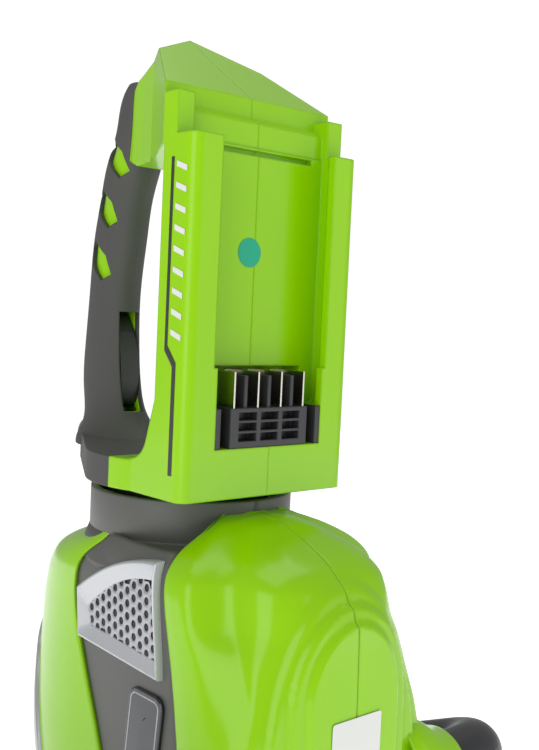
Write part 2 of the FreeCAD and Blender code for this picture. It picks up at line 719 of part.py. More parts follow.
def make_lock_button():
    """The round button that frees the swivel, with its stem and spring."""
    face = fuse(
        "lock_button_solid",
        cylinder(
            "lock_face", "{button_radius}", "{button_proud} + 6.5",
            (0, "{root_reach} - 6.5", "{button_height}"), "Y",
        ),
        cylinder("lock_stem", "{stem_radius}", 21, (0, "{root_reach} - 27", "{button_height}"), "Y"),
    )
    node("swivel_lock_button", face)
    spring = ring_shape(
        size("stem_radius") + 3, size("stem_radius") + 1.4, size("root_reach") - 16.8, 5.0, "Y",
        (0, size("button_height")),
    )
    node("swivel_lock_spring", feature("lock_spring_ring", spring))


def make_handle_board():
    """The small control board behind the bay floor."""
    node("handle_circuit_board", plate(
        "handle_board", "XZ", (-22, 66), (22, 118), "{board_thick}", "-{bay_back} - {wall}",
        holes=((1.6, (-18, 70)), (1.6, (18, 114))),
    ))


HANDLE_SCREWS = ((-28.5, 8.0), (-4.0, 164.0), (52.0, 146.0))


def screw_set(label, places, length):
    """Closing screws across the middle plane, each with its head let into its boss."""
    screws = []
    for y, z in places:
        screws.append(screw_line(y, z, length, size("screw_radius")))
    node(label, feature(f"{label}_bars", Part.makeCompound(screws)))


def tube_run(points, radius):
    """A round lead through points, with a ball at every bend."""
    spans = []
    for start, end in zip(points, points[1:]):
        spans.append(Part.makeCylinder(radius, start.distanceToPoint(end), start, end - start))
    balls = [Part.makeSphere(radius, point) for point in points[1:-1]]
    return spans[0].multiFuse(spans[1:] + balls)


def handle_leads(grow):
    """The two leads from the handle's board down into the hub."""
    radius = size("lead_radius")
    board_y = -size("bay_back") - size("wall") - size("board_thick") - radius - 0.2
    return [
        tube_run([
            Vector(x, board_y, 70), Vector(x, board_y, 60), Vector(x, -18.6, 52), Vector(x, -18.6, 20),
            Vector(x, -10, 9), Vector(x, -10, -1),
        ], radius + grow)
        for x in (-9.0, 9.0)
    ]


def make_leads():
    """Insulated leads: from the handle's board into the hub, and from the controller to the motor."""
    radius = size("lead_radius")
    top = -size("board_drop") - radius - 0.4
    over = size("motor_high") + 4.0 + radius
    foot = -size("motor_drop") + 24
    motor = [
        tube_run([Vector(x, 24, top), Vector(x, over, top - 12), Vector(x, over, foot)], radius)
        for x in (-9.0, 9.0)
    ]
    node("handle_leads", feature("handle_lead_pair", Part.makeCompound(handle_leads(0))))
    node("motor_leads", feature("motor_lead_pair", Part.makeCompound(motor)))


# ---- motor housing -------------------------------------------------------------------------------

def belly_profile():
    """Side view of the motor housing: rounded crown, sloping nose and the swollen belly."""
    belly, crown, nose = size("belly_reach"), size("crown_reach"), size("nose_drop")
    return outline(
        "YZ", (-44, -8), (-57, -8.5), ((-84, -18), (2.6 - belly, -36)), (-belly + 2, -74), (-belly, -95),
        (-belly, -nose + 34), ((-belly + 8, -nose + 10), (-belly + 26, -nose)), (-60, -nose), (0, -nose),
        (crown - 48, -176), ((crown - 8, -136), (crown, -100)), ((crown - 5, -60), (crown - 32, -26)),
        (30, -14),
    )


def housing_front():
    """Front view of the motor housing: shoulders, waist at the front handle and a narrow nose."""
    panel, waist, nose = size("panel_half"), size("waist_half"), size("nose_drop")
    right = [(30, -6), (37, -14), (panel - 5, -30), (panel, -48), (panel + 1, -88), (waist, -102),
             (waist, -140), (panel - 4, -185), (40, -nose - 4)]
    points = mirrored(right)
    return outline("XZ", points[0], *points[1:])


def housing_plan():
    """Plan of the motor housing: rounded belly corners and a wide rounded crown."""
    waist, belly, crown = size("waist_half"), size("belly_reach"), size("crown_reach")
    corner = 34.0
    return outline(
        "XY", (-waist + corner, -belly), (waist - corner, -belly),
        ((waist - corner * 0.32, -belly + corner * 0.22), (waist, -belly + corner)), (waist, 10),
        ((waist * 0.72, crown * 0.74), (0, crown)), ((-waist * 0.72, crown * 0.74), (-waist, 10)),
        (-waist, -belly + corner),
        ((-waist + corner * 0.32, -belly + corner * 0.22), (-waist + corner, -belly)),
    )


def housing_solid(inset):
    """The motor housing as the common volume of its three views, each drawn in by inset."""
    side = slab("YZ", belly_profile(), -100, 100, inset)
    front = slab("XZ", housing_front(), -200, 200, inset)
    plan = slab("XY", housing_plan(), -300, 50, inset)
    return side.common(front).common(plan)


def panel_outline():
    """Side view of the grey side panel, a band that slants from the collar towards the nose."""
    return outline(
        "YZ", (-52, -14), ((-50, -29), (-56, -54)), (-66, -88), (-80, -150), (-66, -176),
        (-44, -150), (-18, -105), ((7, -62), (10, -26)), (20, -4), (-40, -4),
    )


def vent_outline(inset):
    """Side view of the four-cornered vent, drawn in by inset."""
    wire = outline("YZ", (-45, -24), ((-18, -29), (6, -43)), (4, -63), (-52, -66))
    if not inset:
        return wire
    return Part.Face(wire).makeOffset2D(-inset).OuterWire


def badge_outline():
    """Side view of the blank badge plate."""
    return outline("YZ", (-37, -76), (-55, -77), (-68, -128), (-62, -134), (-47, -112))


def drive_openings():
    """Holes through the housing's walls: the blade slot and the seats of the front handle's ends."""
    slot = Part.makeBox(52, 24, 60, Vector(-26, -88, -size("nose_drop") - 20))
    return [slot] + hoop_sockets(0, size("waist_half") - 20, 100)


def housing_ribs():
    """Inner walls: two cradles round the motor, two bars under the board, the gear case's seats."""
    middle, radius, fit = size("motor_drop"), size("motor_radius"), size("fit_gap")
    inner = housing_solid(size("wall") - 0.5)
    ribs = []
    for foot in (size("motor_low") + 6, size("motor_high") - 10):
        rib = Part.makeBox(200, 3, 64, Vector(-100, foot, -middle - 32)).common(inner)
        ribs.append(rib.cut(bar_along(ALONG_Y, radius + fit, 200, (0, -100, -middle))))
    board_foot = -size("board_drop")
    for foot in (-20, 16):
        ribs.append(Part.makeBox(200, 4, 5, Vector(-100, foot, board_foot - 5)).common(inner))
    case_half, case_middle = size("case_half") + fit, -crank_drop()
    for low in (size("wheel_low") - 14, size("wheel_low") + 9):
        seat = Part.makeBox(200, 3, 60, Vector(-100, low, case_middle - 30)).common(inner)
        case = box_between((-case_half, low - 1, case_middle - 40), (case_half, low + 9, case_middle + 40))
        ribs.append(seat.cut(case))
    return ribs


def hoop_sockets(grow, low, high):
    """Round sockets on the housing's flanks that take the front handle's ends."""
    radius = size("hoop_radius") + size("fit_gap") + grow
    at = (size("hoop_start_y"), size("hoop_start_z"))
    return [bar_along(ALONG_X * sign, radius, high - low, (sign * low, *at)) for sign in (-1, 1)]


def screw_line(y, z, length, radius):
    """A round bar across the middle plane, driven in from the right."""
    return bar_along(ALONG_X, radius, length, (-length / 2, y, z))


HOUSING_SCREWS = ((-88.0, -212.0), (-92.0, -52.0), (58.0, -66.0))


def make_housing():
    """The green housing halves and the grey side panels with their collar halves."""
    wall, fit = size("wall"), size("fit_gap")
    shell = housing_solid(0).cut(housing_solid(wall))
    above = Part.makeCylinder(size("collar_radius") + fit, 60, Vector(0, 0, -size("collar_foot")))
    band = slab("YZ", panel_outline(), -100, 100)
    band_room = slab("YZ", panel_outline().makeOffset2D(fit), -100, 100)
    socket_end = size("waist_half") + size("socket_proud")
    sockets = hoop_sockets(wall + 1, size("waist_half") - 13, socket_end)
    inner = housing_solid(wall - 0.5)
    boss_radius, screw_length = size("screw_radius") + wall, size("long_screw")
    bosses = [screw_line(y, z, 200, boss_radius).common(inner) for y, z in HOUSING_SCREWS]
    bores = [screw_line(y, z, screw_length, size("screw_radius")) for y, z in HOUSING_SCREWS]
    green = shell.multiFuse(housing_ribs() + sockets + bosses)
    green = green.cut([above, band_room] + bores + drive_openings() + guard_screw_bars(0))
    trim_seat = slab("YZ", trim_outline(fit), -size("trim_half") - fit, size("trim_half") + fit)
    halves("housing_shell", feature("housing_shell_whole", green.cut(trim_seat)))

    radius, top, foot = size("collar_radius"), size("collar_top"), size("collar_foot")
    collar = ring_shape(radius, radius - wall, -foot, foot - top)
    lip_inner = size("hub_radius") + size("hub_play")
    lip_foot = -size("flange_drop") + size("gap")
    lip = ring_shape(radius - 0.5, lip_inner, lip_foot, -top - lip_foot)
    shelf_foot = -size("flange_drop") - size("flange_thick") - 6
    shelf = ring_shape(radius - 0.5, lip_inner - 2, shelf_foot, 3)
    panel = shell.common(band).cut(Part.makeCylinder(radius - wall, 60, Vector(0, 0, -foot)))
    vents = [slab("YZ", vent_outline(-fit), -100, 100)]
    badge_zone = slab("YZ", badge_outline().makeOffset2D(fit), -100, 100)
    badge_seat = badge_zone.cut(housing_solid(size("badge_thick")))
    whole = panel.multiFuse([collar, lip, shelf]).cut(vents + [badge_seat])
    halves("side_panel", feature("side_panel_whole", whole))


def make_vents_and_badges():
    """The silver vent frames with their perforated plates, and the blank badge plates."""
    wall = size("wall")
    frame_zone = slab("YZ", vent_outline(0), -100, 100)
    plate_zone = slab("YZ", vent_outline(5.0), -100, 100)
    outer = housing_solid(-0.6)
    frame = outer.cut(housing_solid(wall)).common(frame_zone).cut(plate_zone)
    mesh_skin = housing_solid(1.6).cut(housing_solid(wall))
    mesh_plate = mesh_skin.common(slab("YZ", vent_outline(4.0), -100, 100))
    holes = []
    pitch = size("vent_pitch")
    for row in range(6):
        for column in range(9):
            y = -46 + column * pitch + (row % 2) * pitch / 2
            z = -32 - row * pitch
            holes.append(bar_along(ALONG_X, size("vent_hole"), 200, (-100, y, z)))
    mesh_plate = mesh_plate.cut(holes)
    halves("vent_grille", feature("vent_grille_whole", frame.fuse(mesh_plate)))
    badge_skin = housing_solid(0).cut(housing_solid(size("badge_thick")))
    badge = badge_skin.common(slab("YZ", badge_outline(), -100, 100))
    halves("badge_plate", feature("badge_plate_whole", badge))


def trim_outline(grow):
    """Side view of the silver trim along the crown."""
    crown, proud = size("crown_reach"), size("trim_proud")
    wire = outline(
        "YZ", (crown - 14, -72), (crown + proud - 9, -70),
        ((crown + proud, -104), (crown + proud - 12, -140)),
        (crown - 17, -140), ((crown - 5, -104), (crown - 14, -73)),
    )
    return wire.makeOffset2D(grow) if grow else wire


def make_trim():
    """The silver trim along the crown's ridge."""
    trim = slab("YZ", trim_outline(0), -size("trim_half"), size("trim_half"))
    node("crown_trim", feature("crown_trim_solid", trim))


# ---- motor and gears -----------------------------------------------------------------------------

def make_motor():
    """The motor's fixed parts: can, end caps, magnets and bearings. Its shaft runs along Y."""
    drop, radius = "-{motor_drop}", "{motor_radius}"
    length = "{motor_high} - {motor_low}"
    outside = cylinder("can_outside", radius, length, (0, "{motor_low}", drop), "Y")
    inside = cylinder(
        "can_inside", "{motor_radius} - {motor_wall}", f"{length} + 2", (0, "{motor_low} - 1", drop), "Y"
    )
    node("motor_can", cut("motor_can_tube", outside, inside))
    for name, foot in (("lower", "{motor_low} - 3"), ("upper", "{motor_high}")):
        disc = cylinder(f"cap_{name}_disc", radius, 3, (0, foot, drop), "Y")
        bore = cylinder(f"cap_{name}_bore", "{motor_bearing}", 5, (0, f"{foot} - 1", drop), "Y")
        node(f"motor_cap_{name}", cut(f"motor_cap_{name}_ring", disc, bore))
    middle = -size("motor_drop")
    can_inside = size("motor_radius") - size("motor_wall")
    ring = ring_shape(can_inside, size("magnet_inner"), -16, 40, "Y", (0, middle))
    space = Part.makeBox(80, 60, 16, Vector(-40, -30, middle - 8))
    node("motor_magnets", feature("magnet_arcs", ring.cut(space)))
    running_bore = size("shaft_radius") + size("pin_play")
    bearings = [
        ring_shape(size("motor_bearing"), running_bore, foot, 3, "Y", (0, middle))
        for foot in (size("motor_low") - 3, size("motor_high"))
    ]
    node("motor_bearings", feature("bearing_rings", Part.makeCompound(bearings)))


def make_rotor():
    """Everything that turns with the motor shaft: shaft, core, windings, commutator and fan."""
    middle = -size("motor_drop")
    low = size("wheel_low") - 1
    shaft = bar_along(ALONG_Y, size("shaft_radius"), size("motor_high") + 8 - low, (0, low, middle))
    node("rotor_shaft", feature("rotor_shaft_bar", shaft))
    core = ring_shape(size("armature_radius"), size("shaft_radius"), -14, 34, "Y", (0, middle))
    slots = []
    for number in range(8):
        slot = Part.makeBox(2.4, 40, 9, Vector(-1.2, -18, size("armature_radius") - 8))
        slot.rotate(Vector(), Vector(0, 1, 0), number * 45)
        slot.translate(Vector(0, 0, middle))
        slots.append(slot)
    node("armature_core", feature("armature_laminations", core.cut(slots)))
    windings = [
        ring_shape(size("armature_radius") - 3, size("shaft_radius") + 4, foot, 4.5, "Y", (0, middle))
        for foot in (-18.5, 20)
    ]
    node("armature_windings", feature("winding_ends", Part.makeCompound(windings)))
    node("commutator", feature(
        "commutator_ring", ring_shape(8.5, size("shaft_radius"), 26, 10, "Y", (0, middle))))
    foot = size("motor_low") - 14
    fan = ring_shape(9, size("shaft_radius"), foot, 8, "Y", (0, middle))
    fan = fan.fuse(ring_shape(size("fan_radius"), size("shaft_radius"), foot, 1.6, "Y", (0, middle)))
    vanes = []
    for number in range(12):
        vane = Part.makeBox(1.6, 8, size("fan_radius") - 9, Vector(-0.8, foot, 8))
        vane.rotate(Vector(), Vector(0, 1, 0), number * 30)
        vane.translate(Vector(0, 0, middle))
        vanes.append(vane)
    node("cooling_fan", feature("cooling_fan_wheel", fan.multiFuse(vanes).removeSplitter()))


def gear_shape(teeth, thickness, turn):
    """A spur gear in the XZ plane with true involute flanks, thinned for backlash."""
    module = size("gear_module")
    pitch_r = module * teeth / 2
    base_r = pitch_r * math.cos(math.radians(20))
    tip_r = pitch_r + 0.95 * module
    root_r = pitch_r - 1.25 * module
    spread = math.tan(math.radians(20)) - math.radians(20)
    half_tooth = math.pi / (2 * teeth) - size("backlash") / (2 * pitch_r)

    def flank(radius):
        if radius <= base_r:
            return half_tooth + spread
        lean = math.acos(base_r / radius)
        return half_tooth + spread - (math.tan(lean) - lean)

    steps = 6
    start_r = max(base_r, root_r)
    radii = [start_r + (tip_r - start_r) * step / steps for step in range(steps + 1)]
    points = []
    for tooth in range(teeth):
        middle = turn + 2 * math.pi * tooth / teeth
        rising = [(root_r, -flank(start_r))] + [(r, -flank(r)) for r in radii]
        falling = [(r, flank(r)) for r in reversed(radii)] + [(root_r, flank(start_r))]
        for radius, angle in rising + falling:
            points.append(Vector(radius * math.sin(middle + angle), 0, radius * math.cos(middle + angle)))
    wire = Part.makePolygon(points + points[:1])
    return Part.Face(wire).extrude(Vector(0, thickness, 0))


def crank_drop():
    """Drop from the handle's foot to the crank spindle, set by the gears' pitch circles."""
    teeth = size("pinion_teeth") + size("wheel_teeth")
    return size("motor_drop") + size("gear_module") * teeth / 2 + size("mesh_play")


def make_gears():
    """The pinion, the crank wheel with its two opposed cams, the spindle and its bearings."""
    low, thick = size("wheel_low"), size("wheel_thick")
    pinion = gear_shape(int(size("pinion_teeth")), thick + 2, math.pi)
    pinion = pinion.cut(bar_along(ALONG_Y, size("shaft_radius"), 40, (0, -20, 0)))
    pinion.translate(Vector(0, low - 1, -size("motor_drop")))
    node("pinion", feature("pinion_gear", pinion))
    wheel_teeth = int(size("wheel_teeth"))
    wheel = gear_shape(wheel_teeth, thick, math.pi / wheel_teeth)
    holes = [bar_along(ALONG_Y, size("crank_radius"), 40, (0, -20, 0))]
    hole_radius, circle = 4.0, 20.0
    for number in range(6):
        angle = math.radians(30 + number * 60)
        place = (circle * math.sin(angle), -20, circle * math.cos(angle))
        holes.append(bar_along(ALONG_Y, hole_radius, 40, place))
    wheel = wheel.cut(holes)
    wheel.translate(Vector(0, low, -crank_drop()))
    node("crank_wheel", feature("crank_wheel_gear", wheel))
    drop = crank_drop()
    cam_low = size("blade_top") - 2 * size("blade_thick") - 0.6
    spindle_bore = bar_along(ALONG_Y, size("crank_radius"), 60, (0, -120, -drop))
    cams = []
    middle = size("blade_top") - size("blade_thick") - 0.1
    for sign, foot, height in ((1, middle, low - middle), (-1, cam_low, middle - cam_low)):
        cam = bar_along(ALONG_Y, size("cam_radius"), height, (0, foot, sign * size("throw") - drop))
        cams.append(cam.cut(spindle_bore))
    node("crank_cams", feature("opposed_cams", cams[0].fuse(cams[1])))
    spindle = bar_along(ALONG_Y, size("crank_radius"), 30, (0, low - 15, -drop))
    node("crank_spindle", feature("crank_spindle_bar", spindle))
    outer, inner = size("crank_bearing"), size("crank_radius") + size("pin_play")
    bearings = [ring_shape(outer, inner, foot, 4, "Y", (0, -drop)) for foot in (low - 15, low + 11)]
    node("crank_bearings", feature("crank_bearing_rings", Part.makeCompound(bearings)))


def make_gear_case():
    """The cast gear case: a roof that carries the support bar, and a floor with walls and seats."""
    low, thick = size("wheel_low"), size("wheel_thick")
    middle, half, reach, wall = crank_drop(), size("case_half"), size("case_reach"), size("case_wall")
    seat_radius = size("crank_bearing")
    roof_foot = low + thick + 1.0
    floor_top = size("blade_top") - 2 * size("blade_thick") - 1.2
    bar_top = size("blade_top") + 0.2 + size("bar_thick")
    roof = Part.makeBox(2 * half, 10, 2 * reach, Vector(-half, roof_foot, -middle - reach))
    roof_room = box_between(
        (wall - half, roof_foot - 1, wall - middle - reach),
        (half - wall, roof_foot + 6, reach - wall - middle),
    )
    tongue_low = 12 - size("nose_drop")
    tongue = box_between((-16, bar_top, tongue_low), (16, roof_foot + 6, 4 - middle - reach))
    tools = [
        bar_along(ALONG_Y, seat_radius, 40, (0, low + 11, -middle)),
        bar_along(ALONG_Y, 12, 60, (0, low - 5, -size("motor_drop"))),
    ]
    node("gear_case_upper", feature("gear_case_roof", roof.cut(roof_room).fuse(tongue).cut(tools)))
    floor = Part.makeBox(2 * half, 12, 2 * reach, Vector(-half, floor_top - 12, -middle - reach))
    rim = wall + 2
    floor = floor.cut(box_between(
        (rim - half, floor_top - 8, rim - middle - reach), (half - rim, floor_top, reach - rim - middle)
    ))
    sides = [
        box_between((x, floor_top, -middle - reach), (x + wall, roof_foot, reach - middle))
        for x in (-half, half - wall)
    ]
    sides.append(box_between((-half, floor_top, reach - middle - 3), (half, roof_foot, reach - middle)))
    seat = bar_along(ALONG_Y, seat_radius, 60, (0, -130, -middle))
    post = ring_shape(seat_radius + 3, seat_radius, floor_top - 12, 8, "Y", (0, -middle))
    node("gear_case_lower", feature("gear_case_floor", floor.multiFuse([post] + sides).cut(seat)))


# ---- blades --------------------------------------------------------------------------------------

def bolt_drops():
    """Drop of each blade bolt, evenly spaced between two teeth."""
    pitch, count = size("tooth_pitch"), int(size("bolt_count"))
    run = size("tooth_count") * pitch
    first = size("blade_start") + pitch / 2
    return [first + number * (run - 2 * pitch) / (count - 1) for number in range(count)]


def bar_end():
    """Drop to the lower end of the support bar, past the blades at the end of their stroke."""
    blade_end = size("blade_start") + size("tooth_count") * size("tooth_pitch") + 8
    return blade_end + size("throw") + 2 + 24


def blade_wire():
    """Plan of a blade in the XZ plane: yoke round the cam, neck, and a row of teeth down each edge."""
    pitch, count = size("tooth_pitch"), int(size("tooth_count"))
    root, tip, start = size("blade_root"), size("tooth_tip"), size("blade_start")
    yoke_half, yoke_reach, middle = 27.0, 34.0, -crank_drop()
    right = [
        (yoke_half, middle + yoke_reach), (yoke_half, middle - yoke_reach),
        (root, middle - yoke_reach - 14), (root, -start),
    ]
    for tooth in range(count):
        head = -start - tooth * pitch
        right += [
            (root, head - 6), (tip - 2, head - 11), (tip, head - 14), (tip - 2, head - 17),
            (root, head - 24),
        ]
    end = -start - count * pitch
    right += [(root, end), (root - 5, end - 8)]
    points = mirrored(right)
    return outline("XZ", points[0], *points[1:])


def blade_solid(top):
    """One blade: its yoke clears the turning cam, and a slot lets it slide past each bolt."""
    thick, throw = size("blade_thick"), size("throw")
    blade = slab("XZ", blade_wire(), top - thick, top)
    cam = size("cam_radius")
    across, along = cam + throw + 1.0, cam + 2 * throw + 1.0
    yoke = Part.makeBox(2 * across, 20, 2 * along, Vector(-across, top - 10, -crank_drop() - along))
    tools = [yoke]
    radius = size("bolt_radius") + size("gap")
    for drop in bolt_drops():
        reach = throw + 0.5
        slot = Part.makeBox(2 * radius, 20, 2 * reach, Vector(-radius, top - 10, -drop - reach))
        tools.append(slot)
        for sign in (-1, 1):
            tools.append(bar_along(ALONG_Y, radius, 20, (0, top - 10, sign * reach - drop)))
    return blade.cut(tools)


def nut_shape(corner_radius, bore, thickness, foot, z):
    """A hexagonal nut whose bore runs along Y."""
    corners = []
    for corner in range(7):
        angle = math.radians(60 * corner)
        corners.append(Vector(corner_radius * math.cos(angle), foot, corner_radius * math.sin(angle) + z))
    nut = Part.Face(Part.makePolygon(corners)).extrude(Vector(0, thickness, 0))
    return nut.cut(bar_along(ALONG_Y, bore, thickness + 2, (0, foot - 1, z)))


def make_blades():
    """The two toothed blades, the support bar above them, the bolts and the tip guard."""
    thick, top = size("blade_thick"), size("blade_top")
    lift = 0.2
    node("upper_blade", feature("upper_blade_steel", blade_solid(top)))
    node("lower_blade", feature("lower_blade_steel", blade_solid(top - thick - lift)))
    bar_low = top + lift
    end = bar_end()
    holes = [("{bolt_radius} + {fit_gap}", (0, -drop)) for drop in bolt_drops()]
    bar = plate(
        "support_bar", "XZ", ("-{bar_half}", -end), ("{bar_half}", "-{nose_drop} + 34"), "{bar_thick}",
        bar_low + size("bar_thick"), holes=holes,
    )
    node("blade_support_bar", bar)
    radius = size("bolt_radius")
    stack_low = top - 2 * thick - lift - 0.3
    bar_top = bar_low + size("bar_thick")
    bolts = []
    for drop in bolt_drops():
        shank = bar_along(ALONG_Y, radius, bar_top + 7 - stack_low, (0, stack_low - 3, -drop))
        washer = ring_shape(radius + 4.5, radius, stack_low - 1.6, 1.6, "Y", (0, -drop))
        head = bar_along(ALONG_Y, radius + 2.2, 4.4, (0, stack_low - 6, -drop))
        bolts.append(shank.multiFuse([washer, head]))
    node("blade_bolts", feature("blade_bolt_set", Part.makeCompound(bolts)))
    nuts = [nut_shape(2 * radius, radius + 0.02, 3.6, bar_top + 0.01, -drop) for drop in bolt_drops()]
    node("blade_nuts", feature("blade_nut_set", Part.makeCompound(nuts)))

    tip_head, half, snug = end - 24, 20.0, 0.05
    tip_end = -tip_head - size("tip_length")
    side = outline(
        "XZ", (-half, -tip_head), (half, -tip_head), (half, tip_end + 14),
        ((half - 6, tip_end + 4), (0, tip_end)), ((6 - half, tip_end + 4), (-half, tip_end + 14)),
    )
    guard = slab("XZ", side, bar_low - 6.2, bar_top + 3)
    seat_half = size("bar_half") + snug
    seat = box_between((-seat_half, bar_low - snug, -end - 0.5), (seat_half, bar_top + snug, 3 - tip_head))
    hang = bar_along(ALONG_Y, size("hang_radius"), 60, (0, -110, -end - 8))
    node("tip_guard", feature("tip_guard_solid", guard.cut([seat, hang])))


# ---- front handle --------------------------------------------------------------------------------

def hoop_point(across, height, out=0.0):
    """A point in the leaning plane of the front handle."""
    lean = math.radians(size("hoop_lean"))
    along = Vector(0, math.cos(lean), -math.sin(lean))
    normal = Vector(0, math.sin(lean), math.cos(lean))
    foot = Vector(0, size("hoop_start_y"), size("hoop_start_z"))
    return foot + Vector(across, 0, 0) + along * height + normal * out


def hoop_path():
    """The hoop's middle line: out of one flank, up and over the crown, and down to the other."""
    half, height = size("hoop_half"), size("hoop_height")
    low, high = size("hoop_low_bend"), size("hoop_high_bend")
    start = size("waist_half") - 13
    low_foot, low_middle = half - low, low * (1 - math.sqrt(0.5))
    high_foot, high_middle = height - high, high * (1 - math.sqrt(0.5))

    def arc(a, b, c):
        return Part.Arc(hoop_point(*a), hoop_point(*b), hoop_point(*c)).toShape()

    def run(a, b):
        return Part.LineSegment(hoop_point(*a), hoop_point(*b)).toShape()

    edges = [
        run((start, 0), (low_foot, 0)),
        arc((low_foot, 0), (half - low_middle, low_middle), (half, low)),
        run((half, low), (half, high_foot)),
        arc((half, high_foot), (half - high_middle, height - high_middle), (half - high, height)),
        run((half - high, height), (high - half, height)),
        arc((high - half, height), (high_middle - half, height - high_middle), (-half, high_foot)),
        run((-half, high_foot), (-half, low)),
        arc((-half, low), (low_middle - half, low_middle), (-low_foot, 0)),
        run((-low_foot, 0), (-start, 0)),
    ]
    return Part.Wire(edges)


def hoop_tube(radius):
    """A round tube along the hoop's middle line."""
    path = hoop_path()
    start = hoop_point(size("waist_half") - 13, 0)
    ring = Part.Wire([Part.Circle(start, Vector(1, 0, 0), radius).toShape()])
    return path.makePipeShell([ring], True, True)


def hoop_block(low, high):
    """A box in the hoop's own leaning axes, from low to high corners of (across, height, out)."""
    made = Part.makeBox(high[0] - low[0], high[1] - low[1], high[2] - low[2])
    lean = Rotation(Vector(1, 0, 0), -size("hoop_lean"))
    made.Placement = Placement(hoop_point(*low), lean)
    return made


def make_front_handle():
    """The hoop's front and rear shells, its squeeze bar, and the parts inside the crossbar."""
    radius, wall, gap = size("hoop_radius"), size("wall"), size("gap")
    height, squeeze = size("hoop_height"), size("squeeze_half")
    tube = hoop_tube(radius).cut(hoop_tube(radius - wall))
    slot = hoop_block((-squeeze - gap, height - 30, -5 - gap), (squeeze + gap, height - 2.5, 5 + gap))
    tube = tube.cut(slot)
    rear_room = hoop_block((-200, -60, 0), (200, 300, 60))
    front_room = hoop_block((-200, -60, -60), (200, 300, 0))
    node("front_handle_rear_shell", feature("hoop_rear", tube.common(rear_room)))
    node("front_handle_front_shell", feature("hoop_front", tube.common(front_room)))
    bar = hoop_block((-squeeze, height - 22, -5), (squeeze, height - 8.5, 5))
    node("front_switch_bar", feature("squeeze_bar", bar))
    springs = []
    for sign in (-1, 1):
        foot = hoop_point(sign * 30, height - 2.6, 0)
        along = hoop_point(0, 1, 0) - hoop_point(0, 0, 0)
        spring = Part.makeCylinder(4, 8, foot, along).cut(Part.makeCylinder(3, 8, foot, along))
        springs.append(spring)
    node("front_switch_springs", feature("bar_springs", Part.makeCompound(springs)))
    body = hoop_block((-10, height - 2.2, -3.5), (10, height + 7, 3.5))
    node("front_micro_switch", feature("bar_switch", body))


def make_guard():
    """The hand guard: a curved shield between the front handle and the blades."""
    half, thick = size("guard_half"), size("guard_thick")
    nose = size("nose_drop")
    wire = outline(
        "XY", (-40, -64), (40, -64), (half - 14, -52), ((half - 3, -40), (half, -20)), (half - 4, 50),
        ((half - 20, 88), (half - 52, 98)), (-half + 52, 98), ((-half + 20, 88), (-half + 4, 50)),
        (-half, -20), ((-half + 3, -40), (-half + 14, -52)),
    )
    shield = slab("XY", wire, -nose - 0.3 - thick, -nose - 0.3)
    inside = slab("XY", wire, -nose - 5, -nose + 10, thick)
    rim = slab("XY", wire, -nose - 0.3 - thick, -nose + 5.7).cut(inside)
    rim = rim.common(Part.makeBox(400, 200, 60, Vector(-200, -20, -nose - 30)))
    guard = shield.fuse(rim).removeSplitter().cut(guard_screw_bars(size("fit_gap")))
    node("hand_guard", feature("hand_guard_shield", guard))


def guard_screw_bars(grow):
    """Shanks of the guard screws, standing in the housing's nose."""
    thick = size("guard_thick")
    foot = -size("nose_drop") - 0.3 - thick
    return [
        Part.makeCylinder(size("screw_radius") + grow, thick + 0.3 + 8, Vector(x, -44.0, foot))
        for x in (-26.0, 26.0)
    ]


def make_guard_screws():
    """Screws that hold the guard to the nose."""
    head_foot = -size("nose_drop") - 0.3 - size("guard_thick") - 2.2
    screws = []
    for shank in guard_screw_bars(0):
        centre = shank.BoundBox.Center
        head = Part.makeCylinder(size("screw_head"), 2.2, Vector(centre.x, centre.y, head_foot))
        screws.append(head.fuse(shank))
    node("guard_screws", feature("guard_screw_set", Part.makeCompound(screws)))


def make_housing_board():
    """The controller board that stands between the collar and the motor."""
    half, inset, hole = 24, 20, 1.8
    node("controller_board", plate(
        "controller", "XY", (-half, -half), (half, half), "{board_thick}", "-{board_drop}",
        holes=((hole, (-inset, -inset)), (hole, (inset, inset))),
    ))


# ---- build and export ----------------------------------------------------------------------------

def check_and_export():
    """Stops on any failed object or unsound solid, then writes one STEP file per sub-part."""
    doc.recompute()
    broken = [f"{o.Label}: {o.State}" for o in doc.Objects if "Invalid" in o.State or "Error" in o.State]
    if broken:
        raise SystemExit("failed objects: " + "; ".join(broken))
    for obj in NODES:
        if obj.Shape.isNull() or not obj.Shape.isValid():
            raise SystemExit(f"{obj.Label} is not a valid solid")
        if not obj.Shape.Solids:
            raise SystemExit(f"{obj.Label} holds no solid")
    os.makedirs("parts", exist_ok=True)
    for obj in NODES:
        obj.Shape.exportStep(os.path.join("parts", f"{obj.Label}.step"))
        print(f"{obj.Label}: {len(obj.Shape.Solids)} solids, {obj.Shape.Volume / 1000:.2f} cm3")


def main():
    """Makes every sub-part, from the handle to the blades, and writes them."""
    fill_sheet()
    make_rear_shells()
    make_overmould()
    make_terminals()
    make_hub()
    make_trigger()
    make_lock_button()
    make_handle_board()
    screw_set("handle_screws", HANDLE_SCREWS, size("short_screw"))
    make_leads()
    make_housing()
    make_vents_and_badges()
    make_trim()
    make_motor()
    make_rotor()
    make_gears()
    make_gear_case()
    make_blades()
    make_front_handle()
    make_guard()
    make_guard_screws()
    screw_set("housing_screws", HOUSING_SCREWS, size("long_screw"))
    make_housing_board()
    check_and_export()


main()
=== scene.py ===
"""Looks of a cordless hedge trimmer: its moulded shells, soft grip, steel blades, studio and camera."""
import json
import logging
import math
from dataclasses import dataclass
from enum import Enum
from typing import Sequence

import bmesh
import bpy
from mathutils import Matrix, Vector


